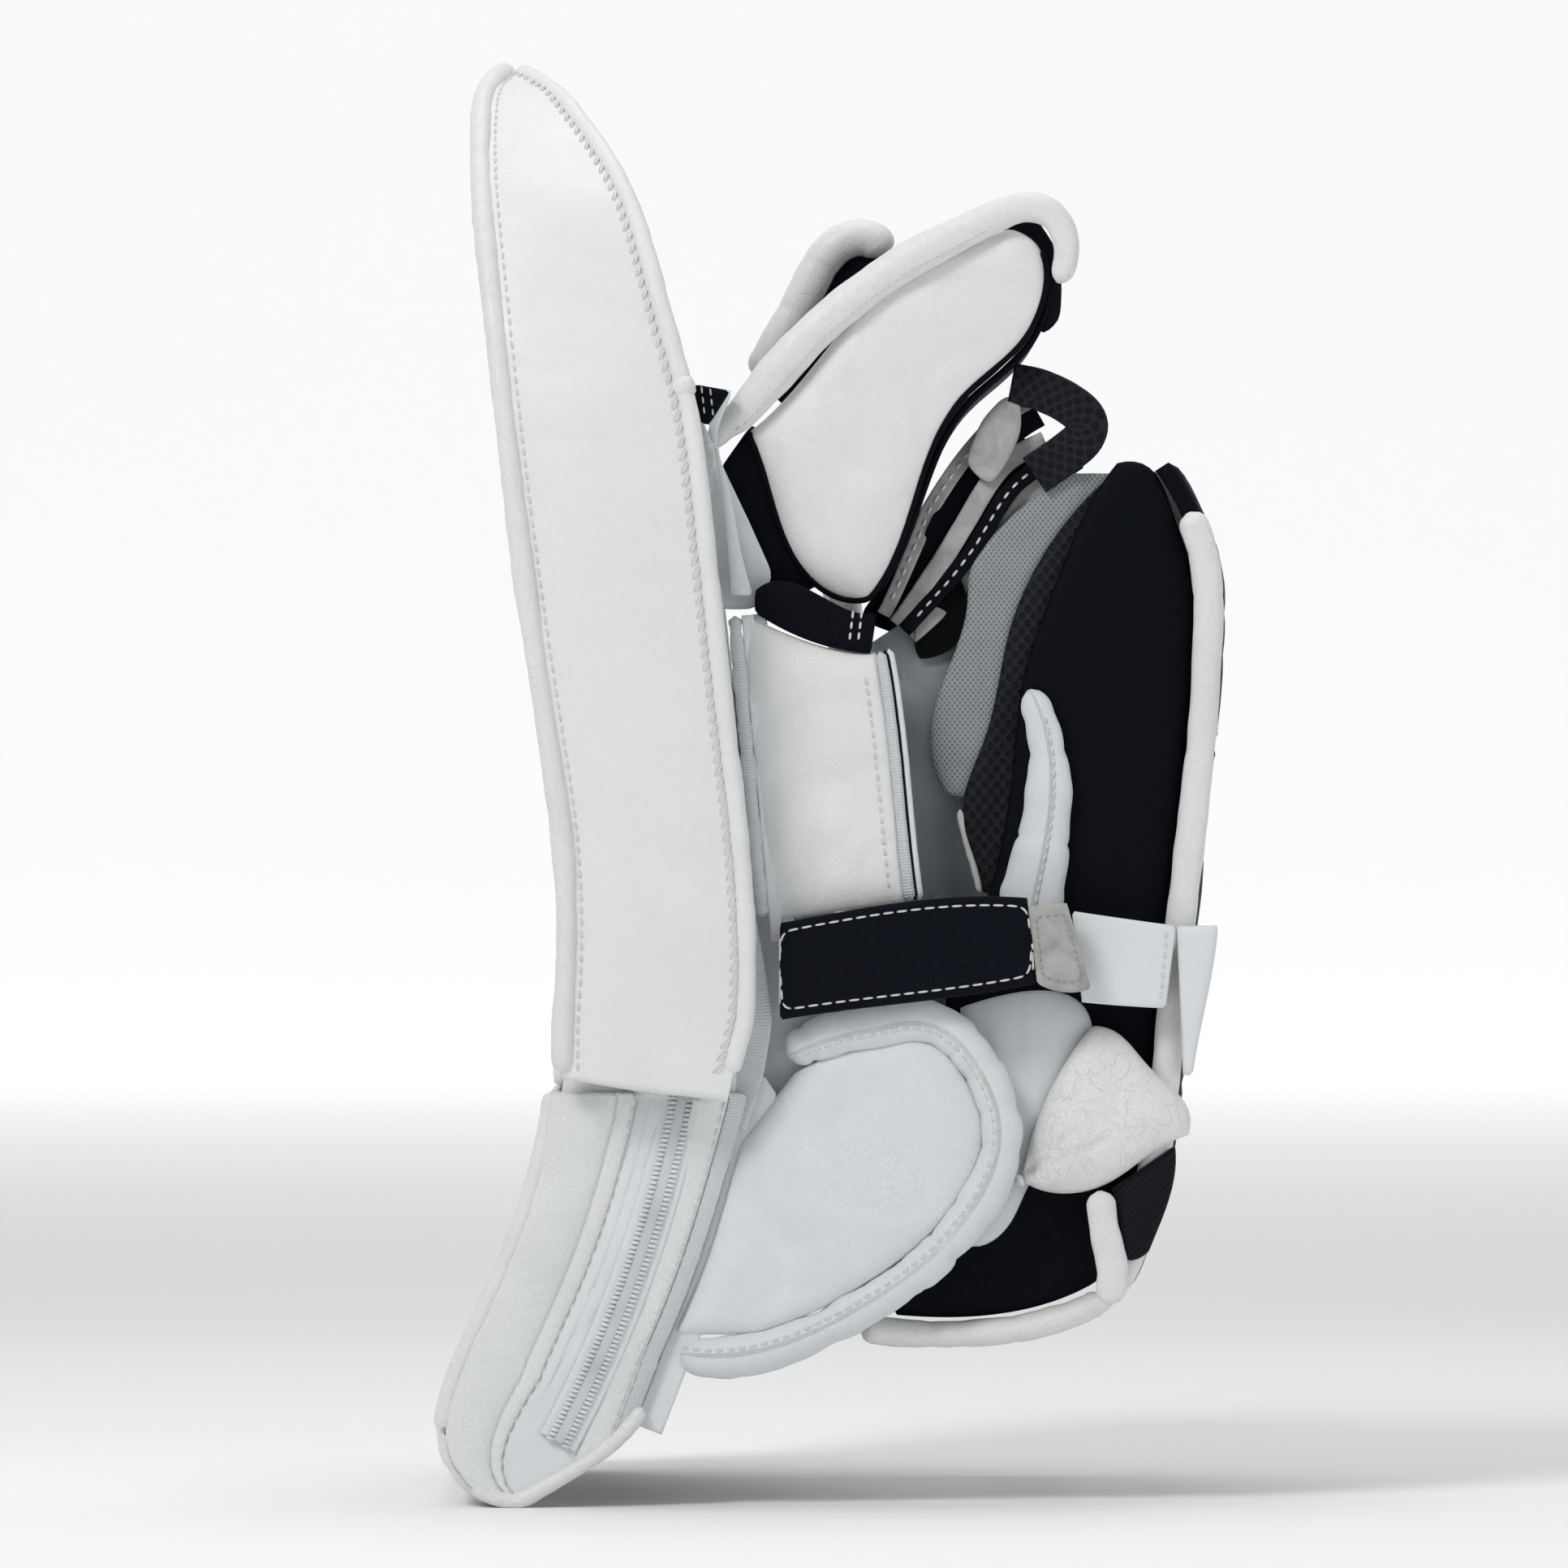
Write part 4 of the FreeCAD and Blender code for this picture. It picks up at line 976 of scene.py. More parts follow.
def plate_band(plate, name, keep, crown, material, slot, nodes, seed, flap=None):
    """The leather band round the plate's edge, crowned between its two stitched seams.

    With a flap node, the band runs on past its lower end to the flap's cut edge."""
    rim, out = rim_part(plate, keep)
    if rim[0, 1] > rim[-1, 1] or (flap and rim[0, 0] > 0):
        rim, out = rim[::-1], out[::-1]
    t = np.linspace(-1, 1, 61)
    front, back = plate.front_x(rim[:, 1]), plate.back_x(rim[:, 1])
    rows = len(rim)
    grid = np.broadcast_to(t, (rows, len(t)))
    half = ((back - front) / 2)[:, None]
    x = ((back + front) / 2)[:, None] + half * grid
    y, z = rim[:, :1] + 0 * x, rim[:, 1:] + 0 * x
    away_y, away_z = out[:, :1] + 0 * x, out[:, 1:] + 0 * x
    if flap:
        near = np.clip((z - z[:1]) / (14 * MM), 0, 1)
        away_y, away_z = away_y * near - (1 - near), away_z * near
        loop = node_loop(flap)
        level_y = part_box(flap)[0].y
        steps = np.linspace(1, 0.0, 9)[:-1, None]
        cut_x = np.linspace(loop[:, 0].min() + 0.2 * MM, loop[:, 0].max() - 0.6 * MM, len(t))
        cut_z = np.array([low_crossing(loop, value) for value in cut_x])
        cut_z = cut_z + 0.35 * MM * ripple(cut_x, 0 * cut_x, 9 * MM, seed + 8)
        x = np.vstack([cut_x * steps + x[:1] * (1 - steps), x])
        z = np.vstack([cut_z * steps + z[:1] * (1 - steps), z])
        y = np.vstack([level_y * steps + y[:1] * (1 - steps), y])
        away_y = np.vstack([0 * steps - 1 + 0 * x[:1], away_y])
        away_z = np.vstack([0 * steps + 0 * x[:1], away_z])
        rows += len(steps)
        grid = np.broadcast_to(t, (rows, len(t)))
        half = np.vstack([half[:1] + 0 * steps, half])
    middle = np.stack([x[:, 30], y[:, 30], z[:, 30]], 1)
    s = lengths(middle)[:, None] + 0 * x
    across = half * (grid + 1)
    soft = 1 - grid ** 4
    rise = crown * (1 - np.abs(grid) ** 2.6) * np.clip(half / (22 * MM), 0.25, 1)
    rise = rise + 0.7 * MM * ripple(s, across, 30 * MM, seed) * soft
    rise = rise - 0.50 * MM * creases(s + 0.35 * across, across, 15 * MM, seed + 1, 3.0) * soft
    rise = rise - 0.28 * MM * creases(s, across, 6 * MM, seed + 2, 4.0) * soft * np.clip(2 * ripple(s,
        across, 45 * MM, seed + 5), 0, 1)
    rise = rise - 1.1 * MM * (1 - np.clip((1 - np.abs(grid)) * half / (2.2 * MM), 0, 1))
    base, away = np.stack([x, y, z], -1), np.stack([0 * x, away_y, away_z], -1)
    upper = base + away * (rise + 0.4 * MM)[..., None]
    lower = base - away * (2.6 * MM)
    piece = grid_solid(name, upper, lower, np.stack([s, across], -1), material)
    return finish(piece, plate.body, slot, *nodes)


def crossings(loop, value, axis=0):
    """Where a closed (x, z) loop is crossed by the line at one x (axis 0) or one z (axis 1)."""
    found = []
    for a, b in zip(loop, np.roll(loop, -1, axis=0)):
        if a[axis] != b[axis] and min(a[axis], b[axis]) <= value <= max(a[axis], b[axis]):
            run = b[1 - axis] - a[1 - axis]
            found.append(a[1 - axis] + run * (value - a[axis]) / (b[axis] - a[axis]))
    return found


def low_crossing(loop, x):
    """The lowest height at which a closed (x, z) loop is crossed at x."""
    return min(crossings(loop, x))


def rim_path(plate, keep, side, lift=0.0, inwards=0.0):
    """A path along the plate's front (-1) or back (+1) rim, and its outward directions.

    On the plate with the flap, the path runs on down to the flap's cut edge."""
    rim, out = rim_part(plate, keep)
    edge = plate.front_x(rim[:, 1]) if side < 0 else plate.back_x(rim[:, 1])
    path = np.stack([edge, rim[:, 0], rim[:, 1]], 1)
    away = np.stack([0 * edge, out[:, 0], out[:, 1]], 1)
    if plate.flap:
        if rim[0, 0] > rim[-1, 0]:
            path, away = path[::-1], away[::-1]
        loop = node_loop(plate.flap)
        x = loop[:, 0].min() + 0.4 * MM if side < 0 else loop[:, 0].max() - 2.6 * MM
        end = np.array([x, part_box(plate.flap)[0].y, low_crossing(loop, x) + 1.5 * MM])
        steps = np.linspace(1, 0, 9)[:-1, None]
        path = np.vstack([end * steps + path[:1] * (1 - steps), path])
        away = np.vstack([np.array([0, -1.0, 0]) + 0 * steps, away])
    path = smooth(path + away * lift, 2)
    path[:, 0] -= side * inwards
    return path, away


def make_plate_pieces(prefix, body, centre, break_y, slice_y, seed, flap=None):
    """Everything soft on one palm plate."""
    plate = Plate(prefix, body, centre, slice_y)
    plate.flap = flap
    low = plate.outline[:, 1].min()
    if body == "root":
        def whole(y, z):
            return ~((y > break_y - 30 * MM) & (z < FOLD_TOP)) & (z > low + 19 * MM)
    else:
        def whole(y, z):
            return ~(y < break_y + 6 * MM) & (z > low + 4 * MM)
    middle = plate.outline.mean(0)
    seams = []
    for lean in (-0.30, 0.32):
        heights = np.linspace(plate.heights[0], plate.heights[-1], 40)
        width = np.ptp(plate.outline[:, 0])
        swing = np.sin(np.linspace(0.2, 2.9, 40))
        seams.append(np.stack([middle[0] + lean * width * swing, heights], 1))
    plate_face(plate, prefix + ".palm_face", plate.front_x, -1, M["leather"], "white_leather", (prefix +
        "_palm_leather",), 2.2 * MM, 3.5 * MM, seams, seed)
    plate_face(plate, prefix + ".back_face", plate.back_x, 1, M["nylon"], "white_nylon", (prefix +
        "_back_board",), 1.2 * MM, 4.0 * MM, (), seed + 9)
    plate_band(plate, prefix + ".band", whole, 3.0 * MM, M["band"], "band_leather", (prefix +
        "_perimeter_band",) + ((flap,) if flap else ()), seed + 20, flap)
    plate_band(plate, prefix + ".inner_band", lambda y, z: ~whole(y, z), 0.3 * MM, M["band"],
        "band_leather", (), seed + 40)
    path, away = rim_path(plate, whole, -1, 0.4 * MM, 0.6 * MM)
    radius = 3.3 * MM * (1 + 0.10 * ripple(lengths(path), 0 * path[:, 0], 16 * MM, seed + 31))
    roll = tube(prefix + ".front_roll", path, radius, M["roll"], away, 14, 1.0, 0.05, 5 * MM, seed + 32)
    finish(roll, body, "rolled_leather", prefix + "_front_roll")
    path, away = rim_path(plate, whole, 1, 0.2 * MM, 0.8 * MM)
    binding = tube(prefix + ".back_binding", path, 3.0 * MM, M["leather"], away, 14, 1.0, 0.05, 6 * MM, seed
        + 33)
    finish(binding, body, "white_leather", prefix + "_back_binding")
    if flap:
        share = (path[:, 2] - plate.heights[0]) / (plate.heights[-1] - plate.heights[0])
        joined = (share > BINDING_JOIN[0]) & (share < BINDING_JOIN[1]) & (path[:, 1] < centre[0])
        cap = tube(prefix + ".binding_cap", path[joined], 3.7 * MM, M["leather"], away[joined], 16, 1.0,
            0.06, 5 * MM, seed + 34)
        finish(cap, body, "white_leather")
    surface = tree_of(prefix + ".band")
    path, away = rim_path(plate, whole, -1, 0.0, 5.2 * MM)
    finish(stitches(prefix + ".front_stitches", path, M["thread"], away, 2.6 * MM, 1.0 * MM, 0.40 * MM,
        surface), body, "white_webbing")
    path, away = rim_path(plate, whole, 1, 0.0, 4.6 * MM)
    finish(stitches(prefix + ".back_stitches", path, M["thread"], away, 3.6 * MM, 0.3 * MM, 0.62 * MM,
        surface, 2.2 * MM), body, "white_webbing")
    return plate


finger = make_plate_pieces("finger", "root", seed=11, flap="band_flap", **FINGER_PLATE)
thumb = make_plate_pieces("thumb", "thumb", seed=51, **THUMB_PLATE)


def make_fold_cover():
    """The soft leather hinge behind the fold, sewn to both plates; it is baked in place and not bent
    between them.
    """
    low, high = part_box("break_gusset")
    middle, reach = (low.y + high.y) / 2, 22 * MM
    v, u = np.meshgrid(np.linspace(low.z, high.z, 60), np.linspace(middle - reach, middle + reach, 30),
        indexing="ij")
    away = 1.2 * MM + np.maximum(finger.back_x(v), thumb.back_x(v))
    bulge = 1.5 * MM * np.cos((u - middle) / reach * math.pi / 2)
    bulge = bulge + 0.5 * MM * ripple(u, v, 14 * MM, 57)
    outer_side = np.stack([away + bulge + 2.2 * MM, u, v], -1)
    inner_side = np.stack([away + bulge, u, v], -1)
    cover = grid_solid("pocket.fold_cover", outer_side, inner_side, np.stack([u, v], -1), M["leather"])
    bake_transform(cover)


def make_wrist_bridge(plate, side, first, last):
    """Soft leather from the cuff's top to a plate's bottom, on the palm side."""
    cuff = cad_points("cuff_front_leather")
    cuff_top = cuff[:, 2].max()
    front = cuff[cuff[:, 2] > cuff_top - 2 * MM, 0].min()
    low = plate.heights[0] + 9 * MM
    steps, across = np.meshgrid(np.linspace(0, 1, 24), np.linspace(first, last, 60), indexing="ij")
    bottom = np.array([front + 3 * MM, cuff_top - 5 * MM])
    x = bottom[0] + steps * (plate.front_x(low) + 3 * MM - bottom[0])
    z = bottom[1] + steps * (low - bottom[1])
    dent = 1.6 * MM * np.sin(steps * math.pi) + 0.6 * MM * ripple(across, z, 16 * MM, 58)
    face = np.stack([x + dent, across, z], -1)
    back = np.stack([x + dent + 2.4 * MM, across, z], -1)
    piece = grid_solid(side + ".wrist_bridge", face, back, np.stack([across, z], -1), M["leather"])
    if plate.body == "root":
        return finish(piece, "root", "white_leather")
    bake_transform(piece)
    return piece


make_fold_cover()
low_corner, high_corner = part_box("cuff_front_leather")
fold_low, fold_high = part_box("break_gusset")
make_wrist_bridge(finger, "finger", low_corner.y + 4 * MM, fold_low.y + 6 * MM)
make_wrist_bridge(thumb, "thumb", fold_high.y - 6 * MM, high_corner.y - 3 * MM)


# ------------------------------------------------------------ shared kinds of piece

def outer(node):
    """Distance of a node's little-finger face from the middle plane."""
    return -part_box(node)[0].y


def inner(node):
    """Distance of a node's hidden face from the middle plane."""
    return -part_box(node)[1].y


def far_side(u, v, w):
    """Places a flat pattern on the far side: u along X, v up, w outwards."""
    return np.stack([u, w, v], 1)


def soft_height(base, rise, edge, swell=0.0, size=20 * MM, crease=0.0, crease_size=12 * MM, seed=1,
        seams=(), stretch=1.6, seam_depth=1.0 * MM):
    """Height rule of a stuffed piece with swells, creases and sewn channels."""
    def height(u, v, d):
        calm = np.clip(d / (0.6 * edge), 0, 1)
        value = base + rise * rounded(d / edge)
        value = value + swell * ripple(u, v, size, seed) * calm
        value = value - crease * creases(u, v, crease_size, seed + 1, stretch) * calm
        value = value - 0.45 * crease * creases(u, v, 0.4 * crease_size, seed + 2, stretch) * calm
        for seam in seams:
            value = value + groove(u, v, seam, seam_depth, 1.5 * MM)
        return value
    return height


def padded_node(name, node, slot, material, rise, edge, base=None, under=None, far=False, pad=None,
        spacing=2 * MM, loop=None, **look):
    """A stuffed piece over a CAD node's outline."""
    outside, inside_face = (-inner(node), -outer(node)) if far else (outer(node), inner(node))
    base = outside - rise if base is None else base
    under = inside_face if under is None else under
    piece = pillow(name, node_loop(node) if loop is None else loop, soft_height(base, rise, edge, **look),
        level(under), material, spacing, min(edge, 6 * MM), far_side if far else near_side)
    return finish(piece, BODY_OF[node], slot, node, pad=pad)


def side_curve(node, toward):
    """The long side of a strip-shaped node's outline that faces toward, as (x, z)."""
    one, other = loop_sides(node)
    direction = np.array(toward, float)
    return one if one.mean(0) @ direction > other.mean(0) @ direction else other


def curved_sheet(name, node, slot, material, toward, rise=2 * MM, thick=3 * MM, step=3 * MM, swell=0.6 * MM,
        crease=0.5 * MM, seed=1, size=24 * MM, lines=(), margin=0.0, channels=(), pad=None):
    """A padded panel that follows the side of a node facing toward, across the node's width.

    lines are shares of the width, and channels shares of the length, sewn down flat."""
    curve = smooth(resample(side_curve(node, toward), step), 2)
    run = np.gradient(curve, axis=0)
    normal = np.stack([-run[:, 1], run[:, 0]], 1)
    normal = normal / np.linalg.norm(normal, axis=1)[:, None]
    if normal.mean(0) @ np.array(toward, float) < 0:
        normal = -normal
    low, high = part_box(node)
    across = np.linspace(low.y - margin, high.y + margin, int((high.y - low.y) / step) + 4)
    along = lengths(curve)
    s, t = np.meshgrid(along, across, indexing="ij")
    edge = np.minimum(np.minimum(s, along[-1] - s), np.minimum(t - across[0], across[-1] - t))
    soft = rounded(edge / (14 * MM))
    height = rise * soft + swell * ripple(s, t, size, seed) * soft
    height = height - crease * creases(s, t, 0.6 * size, seed + 1, 1.7) * soft
    for line in lines:
        place = across[0] + line * (across[-1] - across[0])
        height = height - 1.2 * MM * np.exp(-((t - place) / (1.6 * MM)) ** 2)
    for line in channels:
        height = height - 1.2 * MM * np.exp(-((s - line * along[-1]) / (1.6 * MM)) ** 2)
    base = np.stack([curve[:, None, 0] + 0 * t, t, curve[:, None, 1] + 0 * t], -1)
    away = np.stack([normal[:, None, 0] + 0 * t, 0 * t, normal[:, None, 1] + 0 * t], -1)
    piece = grid_solid(name, base + away * height[..., None], base - away * thick, np.stack([s, t], -1),
        material)
    return finish(piece, BODY_OF[node], slot, node, pad=pad)


def on_side(points, w):
    """A 3-D path on the little-finger side from (x, z) points."""
    points = np.asarray(points, float)
    return np.stack([points[:, 0], np.full(len(points), -w), points[:, 1]], 1)


def roll_of(name, node, slot, material, radius=None, w=None, **look):
    """A soft roll along a strip-shaped node."""
    line, half = strip_line(node, 1.2 * MM)
    depth = outer(node) - inner(node)
    radius = half if radius is None else radius
    w = (outer(node) + inner(node)) / 2 if w is None else w
    piece = tube(name, on_side(line, w), radius, material, flat=0.5 * depth / radius, **look)
    return finish(piece, BODY_OF[node], slot, node)


def traced(corner, points, step=1.5 * MM, rounds=2, closed=True):
    """A smooth outline from a few (x, z) points, in millimetres from a corner of a node."""
    points = np.array(points) * MM + (corner.x, corner.z)
    return smooth(resample(points, step, closed), rounds, closed)


def edge_run(loop, start, stop):
    """The run of a loop from near one point to near another, the way the loop goes."""
    loop = resample(loop, 1 * MM, closed=True)
    a = int(np.argmin(np.linalg.norm(loop - np.asarray(start), axis=1)))
    b = int(np.argmin(np.linalg.norm(loop - np.asarray(stop), axis=1)))
    return loop[np.arange(a, b + 1 if b >= a else b + 1 + len(loop)) % len(loop)]


def sideways(path, distance):
    """A 2-D path moved to its left by a distance."""
    run = np.gradient(path, axis=0)
    run = run / np.linalg.norm(run, axis=1)[:, None]
    return path + distance * np.stack([-run[:, 1], run[:, 0]], 1)


def sew(name, line, body, w, slot="white_webbing", length=2.6 * MM, gap=1.0 * MM, thick=0.42 * MM, on=None,
        material=None, slant=0.0):
    """A line of stitches along (x, z) points on the little-finger side."""
    path = on_side(resample(line, 1 * MM), w)
    surface = tree_of(*on) if on else None
    piece = stitches(name, path, material or M["thread"], (0, -1, 0), length, gap, thick, surface, slant)
    return finish(piece, body, slot)


def beads(name, path, step, half, radius, material, out=(0, -1, 0), sides=8):
    """A row of short rounded bars laid across a path, such as zip teeth."""
    path = resample(path, step)
    _, outward, side = frames(path, out)
    tangent = directions(path)
    shares = np.array([-1.0, -0.8, 0.0, 0.8, 1.0])
    swell = np.array([0.45, 0.9, 1.0, 0.9, 0.45])
    turn = np.linspace(0, 2 * math.pi, sides, endpoint=False)
    points, faces, uvs = [], [], []
    for k, spot in enumerate(path):
        base = len(points)
        for share, wide in zip(shares, swell):
            centre = spot + side[k] * share * half + tangent[k] * 0.25 * radius * share
            for angle in turn:
                points.append(centre + radius * wide * (math.cos(angle) * outward[k] + 0.82 *
                    math.sin(angle) * tangent[k]))
                uvs.append((share * half, angle * radius))
        for i in range(len(shares) - 1):
            for j in range(sides):
                m = (j + 1) % sides
                faces.append((base + i * sides + j, base + (i + 1) * sides + j, base + (i + 1) * sides + m,
                    base + i * sides + m))
        faces.append(tuple(base + j for j in range(sides)))
        last = base + (len(shares) - 1) * sides
        faces.append(tuple(last + j for j in range(sides))[::-1])
    return add_mesh(name, np.array(points), faces, np.array(uvs), material)


# ------------------------------------------------------------ the cuff

class CuffEdge:
    """Lanes that run down the cuff's little-finger edge, as shares of its width."""

    def __init__(self):
        self.loops = [node_loop("cuff_edge_panel"), node_loop("grosgrain_ribbon")]
        low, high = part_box("cuff_edge_panel")
        self.heights = np.linspace(low.z + 0.2 * MM, high.z - 0.2 * MM, 200)
        panel, tape = ([crossings(loop, z, 1) or [np.nan] for z in self.heights] for loop in self.loops)
        self.front = np.array([min(found) for found in panel])
        back = np.array([max(found) for found in tape])
        self.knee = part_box("grosgrain_ribbon")[0].z
        straight = self.heights > self.knee + 4 * MM
        slope, base = np.polyfit(self.heights[straight][:60], back[straight][:60], 1)
        back[~straight] = slope * self.heights[~straight] + base
        self.back = back

    def floor(self, x):
        """Height of the cuff's lower edge at x."""
        found = [low_crossing(loop, x) for loop in self.loops if loop[:, 0].min() <= x <= loop[:, 0].max()]
        return min(found) if found else 1.0

    def lane(self, share, count=90):
        """The (x, z) points of a lane from the top of the cuff to its lower edge."""
        drop = np.clip((self.knee - self.heights) / (35 * MM), 0, 1)
        eased = share * (1 - 0.4 * drop * (share < 0.5))
        line = np.stack([self.front + eased * (self.back - self.front), self.heights], 1)[::-1]
        kept = line[[z >= self.floor(x) + 0.3 * MM for x, z in line]]
        return resample(kept, lengths(kept)[-1] / (count - 1))[:count]

    def panel(self, name, first, last, w, material, slot, rise, swell=0.3 * MM, crease=0.3 * MM, seed=1,
            thick=3 * MM, node=None, columns=15, lift=5 * MM):
        """A padded lane between two shares of the width, rising to the flap at its top."""
        shares = np.linspace(first, last, columns)
        lines = np.stack([self.lane(share) for share in shares], 1)
        t = np.linspace(-1, 1, columns)[None, :]
        along = lengths(lines[:, columns // 2])
        s = along[:, None] + 0 * t
        across = lengths(lines.mean(0))[None, :] + 0 * s
        ends = np.clip(np.minimum(s, along[-1] - s) / (4 * MM), 0.15, 1)
        soft = (1 - np.abs(t) ** 3) * ends
        height = w + rise * soft + swell * ripple(s, across, 18 * MM, seed) * soft
        height = height - crease * creases(s, across, 9 * MM, seed + 1, 2.0) * soft
        height = height + lift * np.clip(1 - s / (26 * MM), 0, 1) ** 1.5
        upper = np.stack([lines[..., 0], -height, lines[..., 1]], -1)
        lower = np.stack([lines[..., 0], 0 * height - (w - thick), lines[..., 1]], -1)
        piece = grid_solid(name, upper, lower, np.stack([s, across], -1), material)
        return finish(piece, "root", slot, *((node,) if node else ()))


def make_cuff_pieces():
    """The cuff: palm-side leather, edge lanes, ribbon, rolls and lining."""
    curved_sheet("cuff.front", "cuff_front_leather", "white_leather", M["leather"], (-1, 0), 2.4 * MM, 3 *
        MM, seed=5, crease=0.9 * MM, margin=2.0 * MM)
    curved_sheet("cuff.back", "cuff_back_lining", "grey_lining", M["lining"], (1, 0), 0.6 * MM, 1.6 * MM,
        seed=6, swell=0.3 * MM, crease=0.3 * MM, margin=-4.0 * MM)
    padded_node("cuff.far_edge", "cuff_core", "white_leather", M["leather"], 3 * MM, 12 * MM,
        base=-inner("cuff_core"), under=-inner("cuff_core") - 2 * MM, far=True, swell=0.6 * MM, crease=0.6 *
        MM, seed=7)
    edge = CuffEdge()
    w = outer("cuff_edge_panel")
    edge.panel("cuff.edge_leather", 0.0, 0.335, w, M["pebbled"], "white_leather", 1.8 * MM, 0.5 * MM, 0.5 *
        MM, 31, node="cuff_edge_panel")
    edge.panel("cuff.edge_lip", 0.335, 0.43, w, M["pebbled"], "white_leather", 0.9 * MM, 0.2 * MM, 0.2 * MM,
        33, columns=9)
    edge.panel("cuff.edge_cloth", 0.43, 0.72, w, M["white_strap"], "white_nylon", 0.6 * MM, 0.4 * MM, 0.5 *
        MM, 35, lift=1.5 * MM, columns=21)
    low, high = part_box("cuff_edge_panel")
    top = np.array([(low.x + 35.0 * MM, high.z - 4 * MM), (high.x, high.z - 4 * MM), (high.x + 1 * MM,
        high.z + 13 * MM), (low.x + 38 * MM, high.z + 13 * MM)])
    piece = pillow("cuff.under_flap", smooth(resample(top, 1.5 * MM, True), 2, True), soft_height(w + 0.6 *
        MM, 1.4 * MM, 5 * MM, 0.3 * MM, seed=43), level(w - 2 * MM), M["pebbled"])
    finish(piece, "root", "white_leather")
    side = traced(high, [(-2.0, 74.0), (1.0, 55.0), (4.6, 37.0), (7.0, 21.0), (4.4, 5.0), (-0.8, -11.0)],
        rounds=5, closed=False)
    piece = ribbon("cuff.side_ribbon", on_side(side, w + 0.4 * MM), 8.5 * MM, 1.2 * MM, M["grosgrain"],
        lift=lambda s, t: 0.5 * MM * ripple(s, t, 9 * MM, 44))
    finish(piece, "root", "grosgrain")
    back = traced(high, [(-6, 74), (10, 74), (30, 52), (56, 40), (50, 12), (20, -2), (-4, -10)], step=2 *
        MM, rounds=3)
    piece = pillow("cuff.side_backing", back, soft_height(inner("wrist_pad") - 3 * MM, 1.6 * MM, 8 * MM, 1.0
        * MM, 18 * MM, 1.0 * MM, 14 * MM, 45), level(inner("wrist_pad") - 5 * MM), M["nylon"])
    finish(piece, "root", "white_nylon")
    edge.panel("cuff.edge_strip", 0.715, 0.892, w, M["pebbled"], "white_leather", 1.1 * MM, 0.3 * MM, 0.3 *
        MM, 37)
    edge.panel("cuff.ribbon", 0.895, 1.0, w - 0.3 * MM, M["grosgrain"], "grosgrain", 0.4 * MM, 0.15 * MM,
        0.05 * MM, 39, node="grosgrain_ribbon", columns=9)
    hem = ribbon("cuff.hem", on_side(edge.lane(0.97) + (3.5 * MM, 0), w - 3.5 * MM), 12 * MM, 1.4 * MM,
        M["nylon"])
    finish(hem, "root", "white_nylon")
    sew("cuff.fold_seam", edge.lane(0.42), "root", w, on=("cuff.edge_lip",), length=3.2 * MM)
    sew("cuff.strip_seam", edge.lane(0.875), "root", w, on=("cuff.edge_strip",), length=3.0 * MM)
    roll = tube("cuff.front_roll", on_side(smooth(edge.lane(0.0), 4), w - 1.2 * MM), 2.6 * MM, M["roll"],
        sides=12, wrinkle=0.05, seed=41)
    finish(roll, "root", "rolled_leather")

    foot = [(x, edge.floor(x) + 1.2 * MM) for x in np.linspace(low.x + 9 * MM, edge.back[0] - 2 * MM, 50)]
    foot += [(x, edge.floor(x) + 1.2 * MM) for x in np.linspace(edge.back[0] - 2 * MM,
        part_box("grosgrain_ribbon")[0].x + 1.5 * MM, 8)][1:]
    roll = tube("cuff.foot_roll", on_side(smooth(resample(foot, 1.2 * MM), 8), w), 2.4 * MM, M["roll"],
        sides=18, wrinkle=0.07, fold=7 * MM, seed=42)
    finish(roll, "root", "rolled_leather")


def make_zip():
    """The zip's tape and its two rows of teeth, on the arc that the slider follows."""
    joint = next(j for j in frame["record"]["behaviour"]["joints"] if j["name"] == "zip_slide")
    centre = np.array([joint["pos_m"][0], joint["pos_m"][2]])
    coils = cad_points("zip_coils")
    reach = np.hypot(coils[:, 0] - centre[0], coils[:, 2] - centre[1])
    angles = np.arctan2(coils[:, 2] - centre[1], coils[:, 0] - centre[0])
    middle, row = (reach.min() + reach.max()) / 2, (reach.max() - reach.min()) / 2 - 1.5 * MM
    sweep = np.linspace(angles.max(), angles.min(), 240)

    def arc(radius):
        return centre + radius * np.stack([np.cos(sweep), np.sin(sweep)], 1)

    base = outer("zip_tape")
    tape = ribbon("zip.tape", on_side(arc(middle), base - 0.5 * MM), 12 * MM, 1.2 * MM, M["white_strap"])
    finish(tape, "root", "white_nylon", "zip_tape")
    core = ribbon("zip.core", on_side(arc(middle), base + 0.3 * MM), 3.4 * MM, 0.8 * MM, M["coil_core"],
        columns=7)
    finish(core, "root", "zip_coil")
    rows = [beads("zip.teeth_" + str(side), on_side(arc(middle + side * row), base + 0.6 * MM), 1.45 * MM,
        1.15 * MM, 0.68 * MM, M["coil"]) for side in (-1, 1)]
    finish(rows[0], "root", "zip_coil", "zip_coils")
    finish(rows[1], "root", "zip_coil")


make_cuff_pieces()
make_zip()


# ------------------------------------------------------------ the hand side

